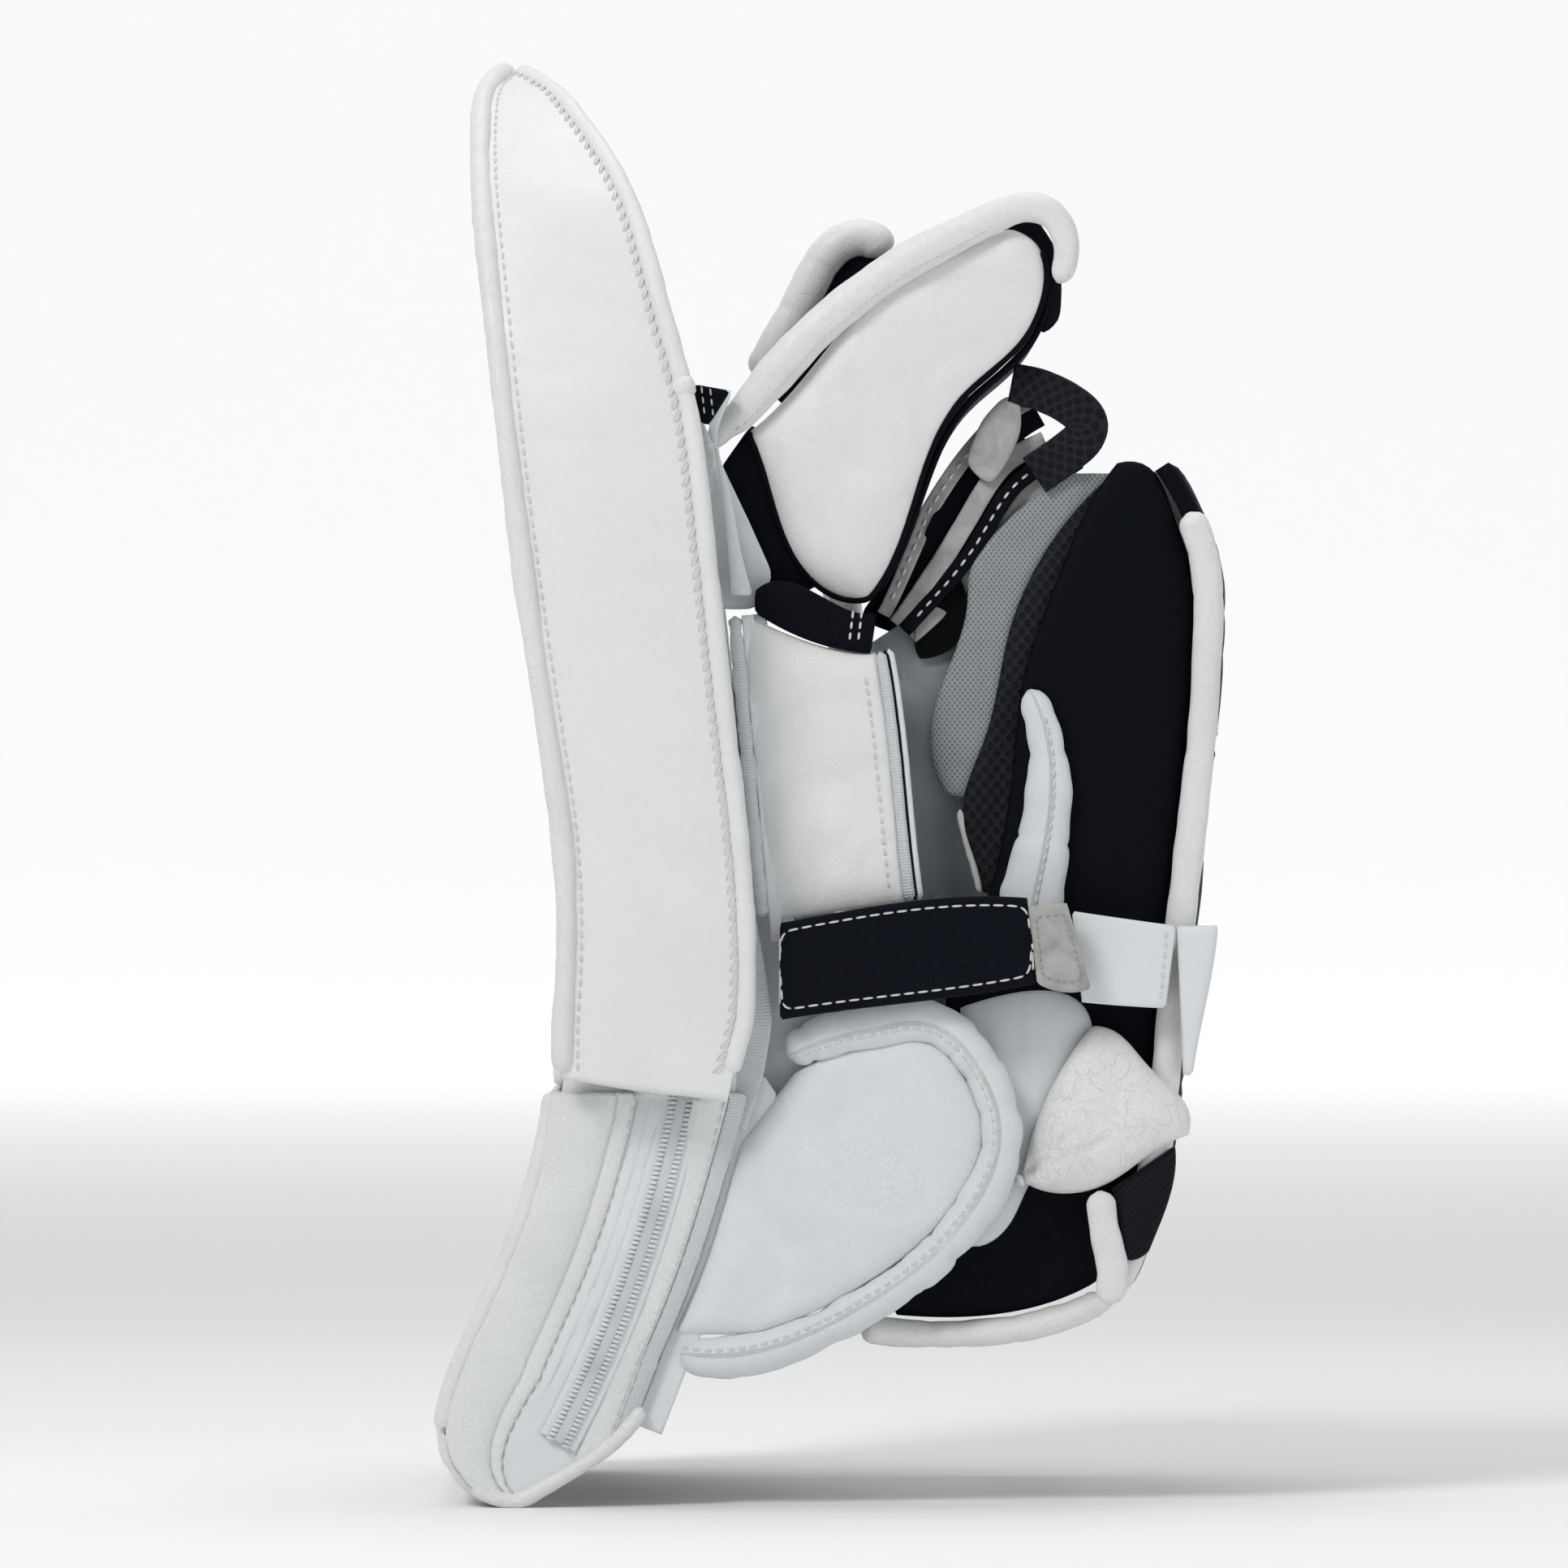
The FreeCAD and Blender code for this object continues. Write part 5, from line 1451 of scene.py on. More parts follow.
def make_side_panel():
    """The leather panel beside the palm, its layered edge and its welts."""
    loop = node_loop("side_panel")
    panel = padded_node("side.panel", "side_panel", "white_leather", M["leather"], 2.6 * MM, 9 * MM,
        swell=0.6 * MM, size=26 * MM, crease=0.6 * MM, seed=61, pad=0.6)
    face = outer("side_panel")
    stuff(panel, lambda p: -p[:, 1] < face - 2.2 * MM, 0.015, 1.5, 2 * MM)
    low, high = loop.min(0), loop.max(0)
    right = edge_run(loop, (high[0] + 7 * MM, low[1]), (high[0], high[1] - 5 * MM))
    right = right[(right[:, 0] > low[0] + 30 * MM)]
    right = right[np.argsort(right[:, 1])]
    right = smooth(resample(right, 1.5 * MM), 3)
    w = outer("side_panel")
    line = sideways(right, 4.6 * MM)
    sew("side.panel_seam", line[3:-3], "root", w, on=("side.panel",), length=2.2 * MM)
    for name, move, size, kind, slot, back in (("side.edge_white", -1.2 * MM, 1.7 * MM, "grosgrain",
            "grosgrain", 1.4 * MM), ("side.edge_black", -2.7 * MM, 0.9 * MM, "black", "black_nylon", 1.9 *
            MM), ("side.edge_outer", -4.0 * MM, 1.3 * MM, "roll", "rolled_leather", 3.0 * MM)):
        piece = tube(name, on_side(sideways(right, move), w - back), size, M[kind], sides=10, wrinkle=0.06,
            seed=63)
        finish(piece, "root", slot)
    roll_of("side.welt", "side_panel_welt", "grosgrain", M["grosgrain"], 2.2 * MM, wrinkle=0.22, fold=5 *
        MM, seed=65, sides=14)
    line, _ = strip_line("side_panel_welt", 1.5 * MM)
    for k, move in enumerate((3.9 * MM, 7.6 * MM)):
        long_line = smooth(np.vstack([line[:1] + (line[0] - line[1]) * 5, line]), 2)
        piece = ribbon("side.welt_tape_" + str(k), on_side(sideways(long_line, -move if long_line[0, 1] <
            long_line[-1, 1] else move), w - 2.2 * MM - k * MM), 3.8 * MM, 1.4 * MM, M["grosgrain" if k else
            "leather"], columns=9, lift=lambda s, t: 0.5 * MM * ripple(s, t, 7 * MM, 66))
        finish(piece, "root", "grosgrain")


def make_wrist_pad():
    """The white cloth wrist pad: an inner cushion inside a sewn roll."""
    loop = resample(node_loop("wrist_pad"), 1.5 * MM, closed=True)
    low, high = loop.min(0), loop.max(0)
    share = np.clip((low[0] + 12 * MM - loop[:, 0]) / (12 * MM), 0, 1)
    loop[:, 0] -= share * 7 * MM * np.clip((8 * MM - loop[:, 1]) / (30 * MM), 0, 1)
    w = outer("wrist_pad")
    pad = padded_node("wrist.pad", "wrist_pad", "white_nylon", M["nylon"], 4.6 * MM, 16 * MM, loop=loop,
        swell=1.0 * MM, size=30 * MM, crease=0.9 * MM, crease_size=20 * MM, seed=71, pad=0.7)
    stuff(pad, lambda p: -p[:, 1] < w - 3.5 * MM, 0.025, 2.0, 3 * MM)
    line, half = strip_line("wrist_pad_roll", 1.5 * MM)
    w = (outer("wrist_pad_roll") + inner("wrist_pad_roll")) / 2
    piece = tube("wrist.roll", on_side(line, w), half * 1.06, M["crumpled"], flat=0.5 *
        (outer("wrist_pad_roll") - inner("wrist_pad_roll")) / half, wrinkle=0.13, fold=9 * MM, seed=73,
        sides=26)
    finish(piece, BODY_OF["wrist_pad_roll"], "white_nylon", "wrist_pad_roll")
    middle = line.mean(0)
    turn = 1 if ((sideways(line, 1 * MM) - middle) ** 2).sum() < ((line - middle) ** 2).sum() else -1
    sew("wrist.roll_seam", sideways(line, turn * 0.38 * half), "root", w, on=("wrist.roll",), length=2.4 *
        MM)


def make_strap():
    """The wrist strap: loop tape with a suede end, and the white strap it holds."""
    loop = node_loop("strap_webbing")
    padded_node("strap.tape", "strap_webbing", "loop_webbing", M["loop"], 1.0 * MM, 2.2 * MM, swell=0.35 *
        MM, seed=81)
    loop = resample(loop, 1 * MM, closed=True)
    first, last = loop[:, 0].min(), loop[:, 0].max()
    ends = [loop[loop[:, 0] < first + 4 * MM, 1].mean(), loop[loop[:, 0] > last - 4 * MM, 1].mean()]
    chord = np.interp(loop[:, 0], [first, last], ends)
    for name, edge, move in (("top", loop[loop[:, 1] > chord], -2.6 * MM), ("bottom", loop[loop[:, 1] <
            chord], 2.8 * MM)):
        edge = edge[np.argsort(edge[:, 0])][4:-4]
        line = smooth(resample(edge, 1.5 * MM), 4) + np.array([0, move])
        sew("strap.seam_" + name, line, "wrist_strap", outer("strap_webbing"), on=("strap.tape",),
            length=3.2 * MM, gap=0.9 * MM, thick=0.36 * MM)
    padded_node("strap.tab", "strap_tab", "grey_suede", M["suede"], 1.3 * MM, 2.4 * MM, swell=0.2 * MM,
        seed=83, spacing=1.6 * MM)
    tab = resample(node_loop("strap_tab"), 1 * MM, closed=True)
    inner_line = tab.mean(0) + (tab - tab.mean(0)) * 0.76
    sew("strap.tab_seam", closed(smooth(inner_line, 2, True)), "wrist_strap", outer("strap_tab"),
        slot="white_webbing", on=("strap.tab",), length=1.5 * MM, gap=0.8 * MM, thick=0.34 * MM,
        material=M["grey_thread"])
    padded_node("strap.white", "white_strap", "white_webbing", M["white_strap"], 0.8 * MM, 1.6 * MM,
        swell=0.3 * MM, seed=85)
    padded_node("strap.keeper", "strap_keeper", "white_webbing", M["white_strap"], 1.6 * MM, 3.0 * MM,
        swell=0.4 * MM, seed=87)
    white = node_loop("white_strap")
    low, high = white.min(0), white.max(0)
    sew("strap.white_seam", [(high[0] - 4.6 * MM, low[1] + 2.6 * MM), (high[0] - 2.6 * MM, high[1] - 4.4 *
        MM)], "back_shell", outer("white_strap"), on=("strap.white",), length=2.0 * MM)


make_side_panel()
make_wrist_pad()
make_strap()


# ------------------------------------------------------------ the finger guard

def make_guard():
    """The flared pad behind the fingers with its rolls, piping and knotted end."""
    loop = node_loop("guard_near_wing")
    loop = loop.mean(0) + (loop - loop.mean(0)) * 1.035
    low, high = loop.min(0), loop.max(0)
    w = outer("guard_near_wing")
    wing = padded_node("guard.wing", "guard_near_wing", "white_leather", M["leather"], 5.0 * MM, 15 * MM,
        loop=loop, swell=0.9 * MM, size=30 * MM, crease=0.8 * MM, crease_size=22 * MM, seed=91, pad=0.7)
    stuff(wing, lambda p: -p[:, 1] < w - 3.5 * MM, 0.02, 2.0, 2.5 * MM)
    run = smooth(edge_run(loop, (low[0], high[1] - 60 * MM), (high[0], high[1] - 6 * MM)), 3)
    piping = tube("guard.piping", on_side(run, w - 4.0 * MM), 1.0 * MM, M["black"], sides=10, wrinkle=0.05,
        seed=92)
    finish(piping, "finger_guard", "black_nylon")
    curved_sheet("guard.back", "guard_back_panel", "black_nylon", M["black"], (-1, 0.6), 0.4 * MM, 2.0 * MM,
        seed=93, lines=(0.06, 0.94))
    padded_node("guard.far_wing", "guard_far_wing", "black_nylon", M["black"], 3 * MM, 12 * MM, far=True,
        swell=0.6 * MM, crease=0.5 * MM, seed=94)
    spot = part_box("guard_lining")[0]
    patch = traced(spot, [(-7.5, 31.0), (-6.5, 26.0), (-0.5, 15.8), (2.8, 4.7), (7.0, -3.0), (15.3, -7.0),
        (23.0, -3.4), (14.0, 18.9), (9.0, 38.1), (2.4, 45.0)])
    padded_node("guard.lining", "guard_lining", "black_nylon", M["black"], 1.5 * MM, 4 * MM, loop=patch,
        base=w - 6.0 * MM, under=w - 7.5 * MM, swell=0.5 * MM, crease=0.5 * MM, seed=95)
    line, half = strip_line("guard_binding", 1.2 * MM)
    if line[0, 0] > line[-1, 0]:
        line = line[::-1]
    foot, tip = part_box("guard_binding")
    line = line[(line[:, 0] < tip.x - 19 * MM) & (line[:, 0] > foot.x + 8 * MM)]
    hook = np.array([(-14.5, -4.8), (-6.6, -6.6), (-2.8, -11.6), (-1.4, -17.6), (-2.0, -23.0), (-4.4,
        -28.2)]) * MM
    start = np.array([(1.0, 0.0), (3.4, 6.0)]) * MM
    line = np.vstack([start + (foot.x, foot.z), line + np.array([0.6, -0.9]) * MM, hook + (tip.x, tip.z)])
    line = smooth(resample(line, 1.2 * MM), 12)
    share = np.linspace(0, 1, len(line))
    radius = half * np.interp(share, [0, 0.08, 0.2, 0.6, 0.8, 1.0], [0.6, 0.95, 1.25, 1.2, 1.0, 0.7])
    radius = radius * (1 + 0.05 * ripple(lengths(line), 0 * share, 20 * MM, 96))
    roll = tube("guard.roll", on_side(line, w - 1.0 * MM), radius, M["roll"], wrinkle=0.05, fold=12 * MM,
        seed=96, sides=26, flat=0.8)
    finish(roll, "finger_guard", "rolled_leather", "guard_binding")
    seam = sideways(line, -1.0)
    seam = line + (seam - line) * (0.62 * radius)[:, None]
    sew("guard.roll_seam", seam[8:int(0.72 * len(seam))], "finger_guard", w, on=("guard.roll",), length=1.8
        * MM, gap=0.9 * MM, thick=0.34 * MM)
    patch = traced(tip, [(-21, -9.5), (-11, -8), (-5, -17), (-3, -28), (-3.5, -39), (-9, -44), (-17, -30)],
        rounds=3)
    piece = pillow("guard.tip_lining", patch, soft_height(w - 7 * MM, 1.5 * MM, 4 * MM, 0.5 * MM, seed=90),
        level(w - 9 * MM), M["black"])
    finish(piece, "finger_guard", "black_nylon")
    line, half = strip_line("guard_far_binding", 1.2 * MM)
    roll = tube("guard.far_roll", on_side(line, outer("guard_far_binding") - 4 * MM), half * 1.1, M["roll"],
        wrinkle=0.05, fold=12 * MM, seed=97, sides=20)
    finish(roll, "finger_guard", "rolled_leather", "guard_far_binding")
    if line[0, 0] > line[-1, 0]:
        line = line[::-1]
    fill = np.vstack([line, line[::-1] + np.array([15, -15]) * MM])
    piece = pillow("guard.far_lining", smooth(resample(fill, 2 * MM, True), 2, True),
        soft_height(outer("guard_far_binding") - 5 * MM, 1.5 * MM, 4 * MM, 0.5 * MM, seed=89),
        level(outer("guard_far_binding") - 7 * MM), M["black"])
    finish(piece, "finger_guard", "black_nylon")
    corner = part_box("guard_binding")[0]
    w = (outer("guard_binding") + inner("guard_binding")) / 2
    knot = traced(corner, [(1.2, 1.6), (-0.3, -3.0), (-1.2, -8.0), (-0.4, -14.5)], step=1 * MM, rounds=4,
        closed=False)
    piece = tube("guard.knot", on_side(knot, w + 2 * MM), 3.1 * MM, M["roll"], sides=18, wrinkle=0.16,
        fold=4 * MM, seed=98)
    finish(piece, "finger_guard", "rolled_leather")
    tail = traced(corner, [(-1.8, -14.0), (1.5, -20.0), (6.0, -27.0), (10.6, -34.0)], step=1 * MM, rounds=4,
        closed=False)
    piece = tube("guard.tail", on_side(tail, w - 1.5 * MM), 2.1 * MM, M["crumpled"], sides=14, wrinkle=0.14,
        fold=4 * MM, seed=99)
    finish(piece, "finger_guard", "white_nylon")


def make_back_cloth():
    """Cloth between the palm and the guard: a wedge, a twill gusset and its stitches."""
    padded_node("back.fabric", "back_fabric", "white_nylon", M["nylon"], 1.2 * MM, 4 * MM, swell=0.7 * MM,
        size=14 * MM, crease=0.6 * MM, seed=101)
    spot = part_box("back_fabric")[0]
    patch = traced(spot, [(-3.5, 60.0), (6.5, 37.4), (13.5, 22.8), (21.0, 6.0), (16.0, -4.0), (4.0, -4.0),
        (-1.0, 21.8), (-5.0, 41.0)], rounds=3)
    piece = pillow("back.backing", patch, soft_height(inner("back_fabric") - 4 * MM, 1.2 * MM, 4 * MM, 1.2 *
        MM, 12 * MM, 1.2 * MM, 10 * MM, 104), level(inner("back_fabric") - 7 * MM), M["crumpled"])
    finish(piece, "root", "white_nylon")
    loop = node_loop("twill_gusset")
    middle = loop.mean(0)
    loop = middle + (loop - middle) * np.array([1.03, 1.16])
    padded_node("back.twill", "twill_gusset", "black_twill", M["twill"], 1.4 * MM, 4 * MM, loop=loop,
        swell=0.6 * MM, size=16 * MM, crease=0.5 * MM, seed=102)
    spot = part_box("back_fabric")[0]
    corner = np.array([(-3.0, 63.0), (8.5, 61.0), (1.8, 50.5), (-1.6, 52.0)]) * MM
    corner = corner + (spot.x, spot.z)
    piece = pillow("back.corner", smooth(resample(corner, 1 * MM, True), 2, True),
        soft_height(outer("back_fabric") - 1 * MM, 1.2 * MM, 3 * MM, 0.4 * MM, seed=103),
        level(inner("back_fabric") - 2 * MM), M["black"], 1.4 * MM, 2 * MM)
    finish(piece, "root", "black_nylon")
    for k in range(3):
        start = corner[0] + np.array([2.6 * k, -0.6 * k]) * MM
        finish(stitches("back.corner_thread_" + str(k), on_side(resample([start, start + (1.0 * MM, -9 *
            MM)], 1 * MM), outer("back_fabric") + 1 * MM), M["thread"], (0, -1, 0), 2.0 * MM, 1.0 * MM, 0.3
            * MM, tree_of("back.corner")), "root", "white_webbing")
    low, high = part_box("twill_gusset")
    for k, move in enumerate((5.0 * MM, 7.6 * MM)):
        line = [(high.x - move, low.z + 2.0 * MM), (high.x - move + 1.2 * MM, high.z - 7 * MM)]
        sew("back.twill_seam_" + str(k), line, "root", outer("twill_gusset"), on=("back.twill",), length=2.2
            * MM)


make_guard()
make_back_cloth()


# ------------------------------------------------------------ the back shell

def make_shell():
    """The back of the cuff: black walls, rolled bindings, mesh, knit and the wrist pieces."""
    padded_node("shell.near_wall", "shell_near_wall", "black_nylon", M["black"], 2.0 * MM, 9 * MM, swell=0.7
        * MM, size=30 * MM, crease=0.5 * MM, crease_size=24 * MM, seed=111, spacing=2.6 * MM)
    padded_node("shell.far_wall", "shell_far_wall", "black_nylon", M["black"], 2.0 * MM, 9 * MM, far=True,
        swell=0.7 * MM, size=30 * MM, crease=0.5 * MM, seed=112, spacing=2.6 * MM)
    curved_sheet("shell.back", "shell_back_board", "black_nylon", M["black"], (1, 0), 3.0 * MM, 4.5 * MM,
        seed=113, lines=(0.24, 0.5, 0.76), channels=(0.35, 0.66))
    roll_of("shell.back_roll", "shell_back_binding", "rolled_leather", M["roll"], wrinkle=0.07, fold=12 *
        MM, seed=114, sides=22)
    roll_of("shell.bottom_roll", "shell_bottom_binding", "rolled_leather", M["roll"], wrinkle=0.09, fold=9 *
        MM, seed=115, sides=22)
    back_line, half = strip_line("shell_back_binding", 2 * MM)
    foot_line, _ = strip_line("shell_bottom_binding", 2 * MM)
    back_end = back_line[np.argmin(back_line[:, 1])]
    foot_end = foot_line[np.argmax(foot_line[:, 0])]
    corner = np.array([back_end + (1.5 * MM, 5 * MM), back_end, foot_end, foot_end - (4 * MM, 3 * MM)])
    w = (outer("shell_back_binding") + inner("shell_back_binding")) / 2
    piece = tube("shell.corner_roll", on_side(smooth(resample(corner, 1.2 * MM), 5), w), 3.4 * MM,
        M["roll"], wrinkle=0.1, fold=6 * MM, seed=126, sides=18)
    finish(piece, "back_shell", "rolled_leather")
    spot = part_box("textured_back_panel")[0]
    strip = traced(spot, [(-3.6, 21.0), (-2.4, 10.0), (0.4, -2.0), (-0.6, -13.0)], step=1.2 * MM, rounds=5,
        closed=False)
    piece = tube("shell.bound_strip", on_side(strip, outer("textured_back_panel") + 1 * MM), 4.6 * MM,
        M["roll"], flat=0.5, wrinkle=0.09, fold=8 * MM, seed=127, sides=20)
    finish(piece, "back_shell", "rolled_leather")
    padded_node("shell.textured", "textured_back_panel", "black_twill", M["coarse"], 1.6 * MM, 5 * MM,
        swell=0.5 * MM, size=12 * MM, seed=116)
    padded_node("shell.mesh", "spacer_mesh", "black_mesh", M["mesh"], 1.4 * MM, 4 * MM, swell=1.0 * MM,
        size=26 * MM, crease=0.5 * MM, crease_size=18 * MM, seed=117)
    padded_node("shell.knit", "knit_strip", "grey_knit", M["knit"], 1.2 * MM, 3.5 * MM, swell=0.9 * MM,
        size=22 * MM, crease=0.5 * MM, crease_size=16 * MM, seed=118)
    line = side_curve("spacer_mesh", (-1, 0))
    line = smooth(resample(line, 1.2 * MM), 4)
    edge = tube("shell.knit_edge", on_side(line + np.array([-0.9 * MM, 0]), outer("spacer_mesh") - 0.8 *
        MM), 1.0 * MM, M["cut_edge"], sides=10, wrinkle=0.18, fold=2 * MM, seed=119)
    finish(edge, "back_shell", "grey_knit")
    padded_node("wrist.wing", "wrist_wing", "white_nylon", M["nylon"], 3.6 * MM, 13 * MM, swell=0.8 * MM,
        size=22 * MM, crease=1.0 * MM, crease_size=17 * MM, seed=121, pad=0.6)
    line, half = strip_line("wing_roll", 1.5 * MM)
    if line[0, 1] < line[-1, 1]:
        line = line[::-1]
    tail = line[-1] + (line[-1] - line[-6]) * np.array([[0.9], [1.8]])
    line = smooth(resample(np.vstack([line, tail]), 1.5 * MM), 3)
    share = np.linspace(0, 1, len(line))
    radius = np.interp(share, [0, 0.25, 0.7, 1.0], [0.75, 1.05, 1.5, 1.75]) * half
    roll = tube("wrist.wing_roll", on_side(line, inner("wing_roll") + 3.4 * MM), radius, M["crumpled"],
        flat=0.5, wrinkle=0.12, fold=10 * MM, seed=122, sides=26)
    finish(roll, "back_shell", "white_nylon", "wing_roll")
    sew("wrist.wing_roll_seam", sideways(line, 0.25 * half)[6:-4], "back_shell", outer("wing_roll"),
        on=("wrist.wing_roll",), length=2.2 * MM)
    low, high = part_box("leather_tab")
    pinch = np.array([low.x, low.z + 4 * MM])
    fans = [np.array([pinch + 3 * MM, pinch + reach * MM * np.array([math.cos(a), math.sin(a)])]) for a,
        reach in ((1.35, 34), (1.1, 27), (0.75, 22), (0.45, 26))]
    padded_node("wrist.tab", "leather_tab", "white_leather", M["creased"], 7.5 * MM, 15 * MM, swell=1.5 *
        MM, size=15 * MM, crease=1.7 * MM, crease_size=13 * MM, seed=123, pad=0.7, seams=fans,
        seam_depth=1.2 * MM, spacing=1.4 * MM)
    tip = np.array([pinch + (0.5 * MM, 1 * MM), pinch + (-1.8 * MM, -0.6 * MM)])
    piece = tube("wrist.tab_pinch", on_side(resample(tip, 0.6 * MM), inner("leather_tab") + 4 * MM), 2.6 *
        MM, M["creased"], sides=16, wrinkle=0.2, fold=3 * MM, seed=124)
    finish(piece, "back_shell", "white_leather")


# ------------------------------------------------------------ inside the hand

def make_inside():
    """The hand's lining, the finger stalls, the far gusset and the thumb guard."""
    curved_sheet("inner.palm", "inner_palm", "grey_suede", M["suede"], (1, 0), 1.2 * MM, 2.5 * MM, seed=131)
    curved_sheet("inner.back", "inner_glove_back", "grey_lining", M["lining"], (1, 0), 1.6 * MM, 3 * MM,
        seed=132)
    padded_node("inner.far_gusset", "far_cuff_gusset", "black_nylon", M["black"], 2 * MM, 10 * MM, far=True,
        swell=1.0 * MM, crease=0.8 * MM, seed=133)
    panel = node_loop("side_panel")
    right = edge_run(panel, (panel[:, 0].max(), panel[:, 1].min() + 4 * MM), (panel[:, 0].max() - 8 * MM,
        panel[:, 1].max() - 10 * MM))
    left = smooth(resample(side_curve("knit_strip", (-1, 0)), 2 * MM), 3)
    left = left[np.argsort(-left[:, 1])] + np.array([9 * MM, 0])
    left = left[left[:, 1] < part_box("knit_strip")[1].z - 22 * MM]
    foot = np.array([[left[-1, 0] + 6 * MM, panel[:, 1].min() - 8 * MM], [right[0, 0] - 6 * MM, panel[:,
        1].min() - 8 * MM]])
    outline = np.vstack([right - (6 * MM, 0), left, foot])
    outline = smooth(resample(outline, 2 * MM, True), 3, True)
    w = -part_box("inner_glove_back")[0].y
    middle = outline.mean(0)

    def height(u, v, d):
        lump = np.exp(-(((u - middle[0]) / (11 * MM)) ** 2 + ((v - middle[1] - 8 * MM) / (15 * MM)) ** 2))
        value = w + 4.0 * MM * lump + 1.6 * MM * ripple(u, v, 20 * MM, 135)
        return value - 2.2 * MM * creases(u, v, 20 * MM, 136, 2.4)

    piece = pillow("inner.side", outline, height, level(w - 4 * MM), M["lining"], 2.4 * MM, 4 * MM)
    finish(piece, "root", "grey_lining")
    # painted shade: a near-black sunken patch on the lining stands in for the dark depth of the hand's
    # opening
    hollow_shade_outline = np.array([(-7, -6), (5, -2), (9, 10), (6, 22), (-3, 14), (-8, 4)]) * MM
    hollow_shade_outline = hollow_shade_outline + (middle[0] + 1 * MM, outline[:, 1].max() - 26 * MM)
    hollow_shade_outline = smooth(resample(hollow_shade_outline, 2 * MM, True), 4, True)
    piece = pillow("inner.hollow_shade", hollow_shade_outline, soft_height(w + 3.4 * MM, -2.0 * MM, 4 * MM, 0.4 * MM,
        seed=137), level(w), M["hole"], 2.4 * MM, 2.5 * MM)
    finish(piece, "root", "black_nylon")
    turn = np.linspace(-0.9, 1.1, 30)
    for k, size in enumerate((15 * MM, 22 * MM)):
        line = middle + np.stack([size * np.cos(turn) - 6 * MM, 1.4 * size * np.sin(turn)], 1)
        line = line[inside(line, outline)]
        if len(line) > 6:
            sew("inner.side_seam_" + str(k), line, "root", w, "grey_lining", 1.6 * MM, 1.0 * MM, 0.32 * MM,
                ("inner.side",), M["grey_thread"])

    line, half = strip_line("finger_stall_straps", 1.2 * MM)
    if line[0, 1] > line[-1, 1]:
        line = line[::-1]
    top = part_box("finger_stall_straps")[1]
    w = outer("finger_stall_straps")
    along = lengths(line)
    held = ("root", "finger_guard", *on_side([line[0], 2.6 * line[-1] - 1.6 * line[0]], w))
    strips = [("stall.suede", 0.0, 6.0, 4.0, "suede", "grey_suede", 0.0), ("stall.black_strip", 6.2, 5.4,
        5.5, "black", "black_nylon", 1.0), ("stall.mesh_strip", -6.0, 6.5, 1.5, "loop", "black_nylon", 0.0),
        ("stall.grey_strip", -11.0, 5.0, 3.0, "suede", "grey_suede", 1.0), ("stall.inner_strip", 11.5, 6.0,
        1.0, "suede", "grey_suede", 0.0)]
    for k, (name, shift, wide, lift, kind, slot, sewn) in enumerate(strips):
        bend = 1.3 * MM * np.sin(along / (6.5 * MM) + k) * np.clip(along / (20 * MM), 0, 1)
        spread = np.interp(along, [0, along[-1] * 0.45, along[-1]], [0.45, 1.0, 1.0])
        centre = sideways(line, 0) - np.array([0, 0]) if shift == 0 else line + (sideways(line, -1.0) -
            line) * (shift * MM * spread)[:, None]
        centre = centre + np.stack([0.5 * bend, bend], 1)
        path = on_side(centre, w + lift * MM)
        path[:, 1] += 2.0 * MM * ripple(along, 0 * along, 15 * MM, 145 + k)
        piece = ribbon(name, path, wide * MM * (0.7 + 0.3 * spread), 1.6 * MM, M[kind], (0, -1, 0.15),
            columns=11, lift=lambda s, t, k=k: 0.8 * MM * ripple(s, t, 8 * MM, 146 + k))
        finish(piece, held, slot, *(("finger_stall_straps",) if k == 0 else ()))
        if sewn:
            sew(name + "_seam", centre[4:-4], held, w + lift * MM, on=(name,), length=2.4 * MM, gap=1.6 *
                MM)
    loop = traced(top, [(-12, 14), (-4, 12.5), (3, 9.5), (9, 5.5), (11.5, 1.6), (9.5, -3), (3, -8), (-5,
        -13.5)], step=1 * MM, rounds=6, closed=False)
    path = on_side(loop, w + 8 * MM)
    piece = ribbon("stall.loop", path, 12.5 * MM, 3.0 * MM, M["mesh"], (0, -1, 0), columns=13, lift=lambda
        s, t: 0.9 * MM * ripple(s, t, 9 * MM, 147))
    finish(piece, held, "black_mesh")
    # painted shade: a near-black sheet set deep behind the finger stall straps, where shade falls
    stall_shade_outline = np.vstack([line + np.array([-12, 2]) * MM, line[::-1] + np.array([14, -8]) * MM])
    piece = pillow("stall.hollow_shade", smooth(resample(stall_shade_outline, 2 * MM, True), 3, True), soft_height(w - 8 *
        MM, 1.5 * MM, 5 * MM, 1.0 * MM, seed=148), level(w - 11 * MM), M["hole"], 3 * MM)
    finish(piece, held, "black_nylon")
    leaf = np.array([(-13.5, 11), (-9, 9), (-9, -1), (-14, -11), (-18.5, -17), (-26, -10), (-21,
        3)]) * MM + (top.x, top.z)
    leaf = smooth(resample(leaf, 1.5 * MM, True), 5, True)
    piece = pillow("stall.leaf", leaf, soft_height(w + 9 * MM, 1.6 * MM, 6 * MM, 0.5 * MM, 9 * MM, 0.5 * MM,
        8 * MM, 143), level(w + 7 * MM), M["suede"], 1.4 * MM, 3 * MM)
    finish(piece, held, "grey_suede")

    curved_sheet("thumb.guard", "thumb_guard_pad", "white_leather", M["leather"], (1, 0), 3.0 * MM, 6.5 *
        MM, seed=151, crease=0.7 * MM, pad=0.7)
    roll_of("thumb.guard_roll", "thumb_guard_binding", "rolled_leather", M["roll"], wrinkle=0.1, fold=8 *
        MM, seed=152, sides=18)


# ------------------------------------------------------------ the pocket and laces

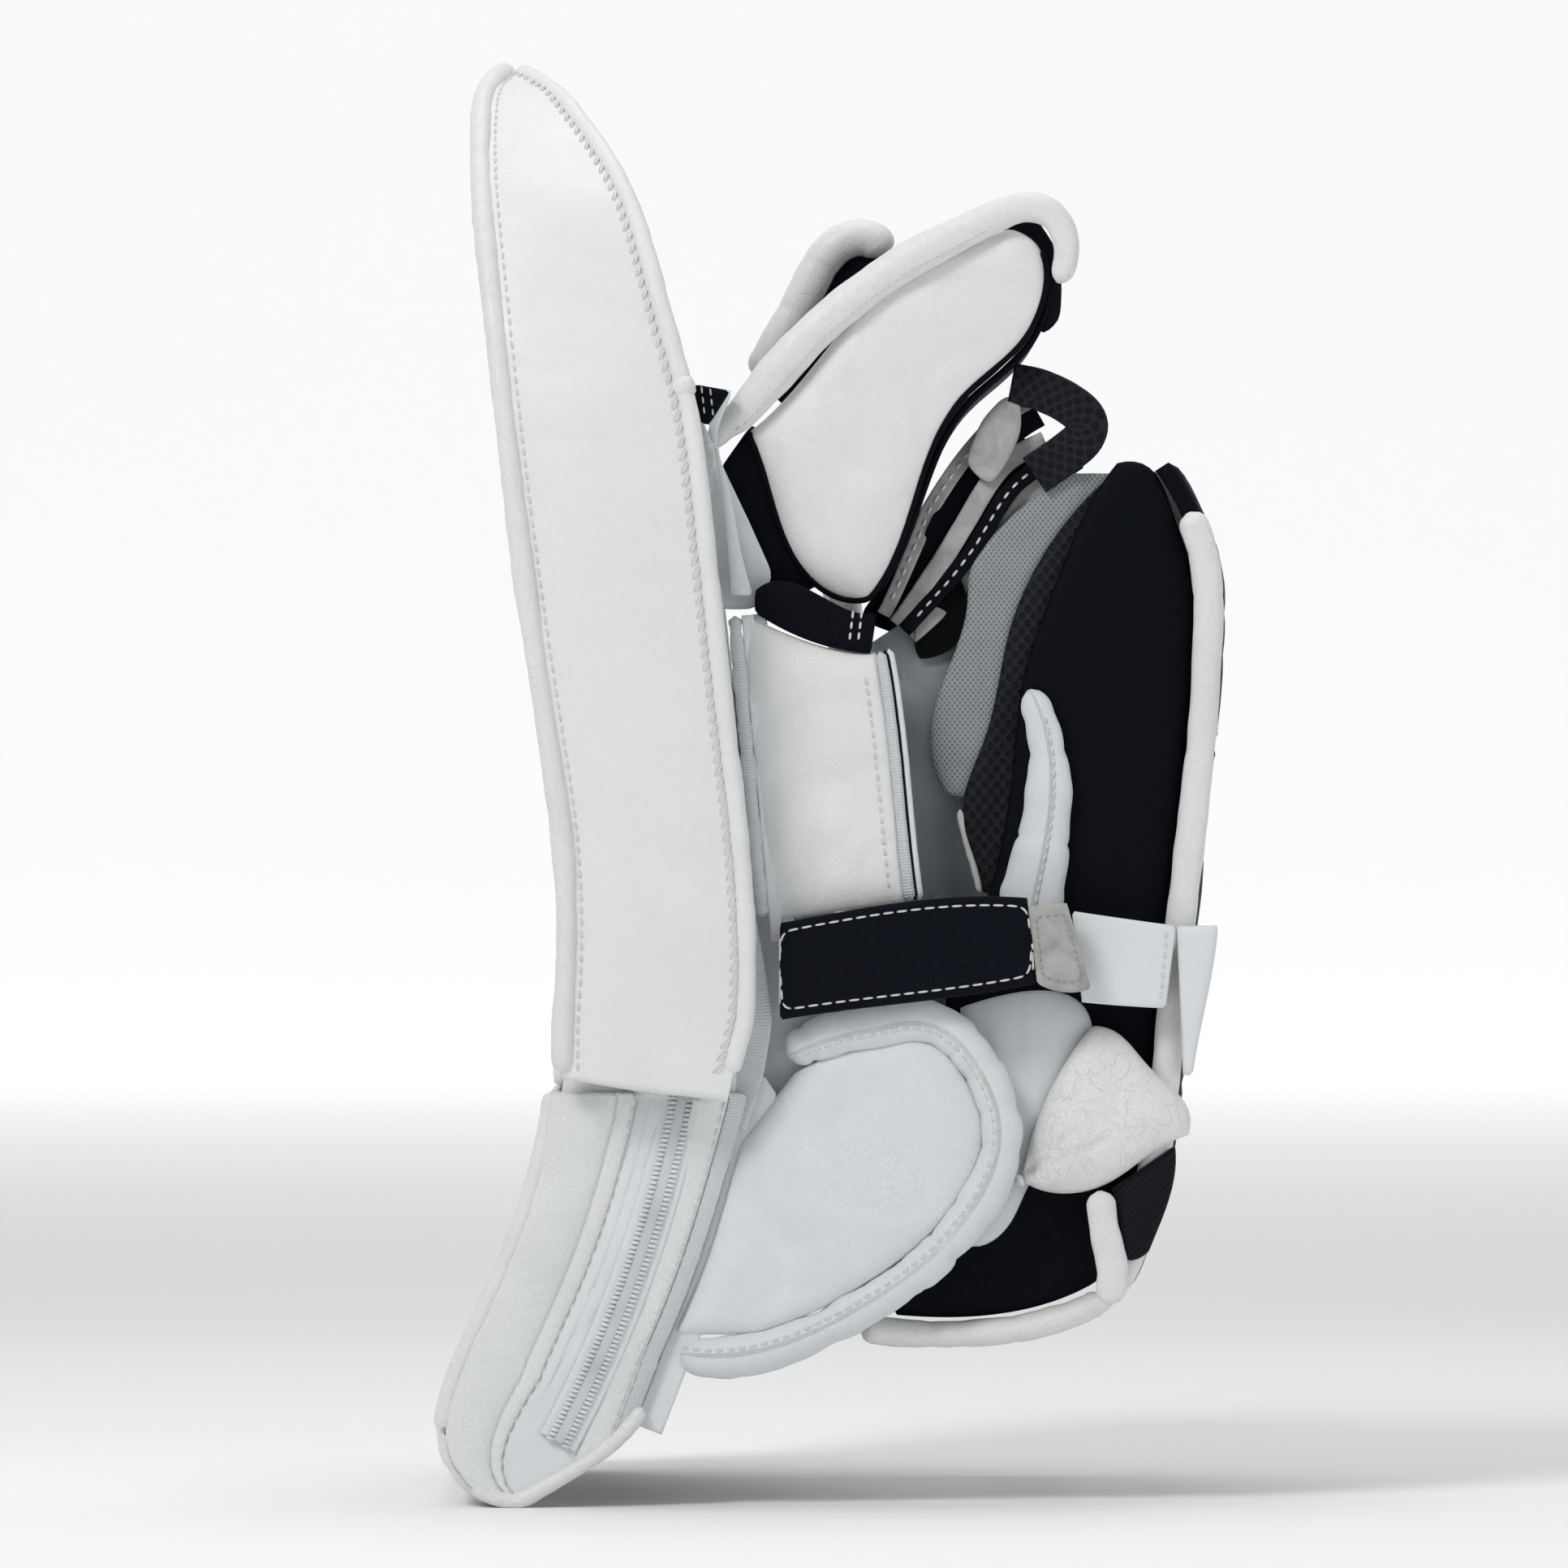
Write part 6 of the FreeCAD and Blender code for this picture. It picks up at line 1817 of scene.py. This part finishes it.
def solids_of(node):
    """The separate solids of a node, each as its own edge list of point pairs."""
    mesh = NODES[node].data
    group = list(range(len(mesh.vertices)))

    def root_of(index):
        while group[index] != index:
            group[index] = group[group[index]]
            index = group[index]
        return index

    for edge in mesh.edges:
        group[root_of(edge.vertices[0])] = root_of(edge.vertices[1])
    parts = {}
    for edge in mesh.edges:
        parts.setdefault(root_of(edge.vertices[0]), []).append([np.array(mesh.vertices[v].co) for v in
            edge.vertices])
    return list(parts.values())


def spine(edges, axis=1, count=24):
    """The centre line of one solid, from slices across an axis."""
    points = np.array(edges)
    low, high = points[..., axis].min(), points[..., axis].max()
    line = []
    for level_at in np.linspace(low + 0.2 * MM, high - 0.2 * MM, count):
        a, b = points[:, 0], points[:, 1]
        cut = (a[:, axis] - level_at) * (b[:, axis] - level_at) < 0
        if cut.any():
            share = (level_at - a[cut, axis]) / (b[cut, axis] - a[cut, axis])
            line.append((a[cut] + share[:, None] * (b[cut] - a[cut])).mean(0))
    return np.array(line)


def make_pocket():
    """The pocket stem, the gusset in the fold, the top bars and the web laces."""
    curved_sheet("pocket.stem", "pocket_stem", "band_leather", M["band"], (-1, 0), 1.6 * MM, 3.4 * MM,
        seed=161, step=1.6 * MM, lines=(0.16, 0.84))
    curved_sheet("pocket.gusset", "break_gusset", "band_leather", M["band"], (-1, 0), 1.2 * MM, 3.4 * MM,
        seed=162, step=1.4 * MM)
    for prefix in ("finger", "thumb"):
        node = prefix + "_top_bar"
        line = smooth(resample(spine(solids_of(node)[0]), 1 * MM), 4)
        bar = tube(prefix + ".top_bar", line, 4.6 * MM, M["band"], (0, 0, 1), 18, 0.8, 0.08, 7 * MM, 163)
        finish(bar, BODY_OF[node], "band_leather", node)
        node = prefix + "_side_laces"
        for k, part in enumerate(solids_of(node)):
            line = resample(spine(part), 1 * MM)
            rise = 1.2 * MM * np.sin(np.linspace(0, math.pi, len(line)))
            line[:, 0] -= rise
            piece = ribbon(prefix + ".lace_" + str(k), line, 4.6 * MM, 2.0 * MM, M["lace"], (-1, 0, 0),
                columns=9)
            finish(piece, BODY_OF[node], "lace_leather", *((node,) if k == 0 else ()))


make_shell()
make_inside()
make_pocket()


def declare_sheet(name, node):
    """Measures a thin cloth piece, cut to its node's outline and sewn down flat: its length, width and
    area, which are not used.
    """
    loop = resample(node_loop(node), 2 * MM, closed=True)
    loop = loop - loop.mean(0)
    axes = np.linalg.svd(loop, full_matrices=False)[2]
    length, width = (float(side) for side in np.ptp(loop @ axes.T, axis=0))
    area = abs(signed_area(loop))
    if name == "cuff.back":
        low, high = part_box(node)
        width, length = high.y - low.y, float(lengths(side_curve(node, (1, 0)))[-1])
        area = width * length


declare_sheet("cuff.back", "cuff_back_lining")
declare_sheet("shell.mesh", "spacer_mesh")
declare_sheet("shell.knit", "knit_strip")


# ------------------------------------------------------------ CAD nodes that still show

CAD_LOOKS = {"foam_core": M["foam"], "stiff_board": M["foam"], "zip_metal": M["metal"]}
SLOT_OF = {part["node"]: part["material_slot"] for part in frame["record"]["subparts"]}
for node_name, node_object in NODES.items():
    node_object.data.materials.clear()
    node_object.data.materials.append(CAD_LOOKS.get(SLOT_OF[node_name], M["lining"]))
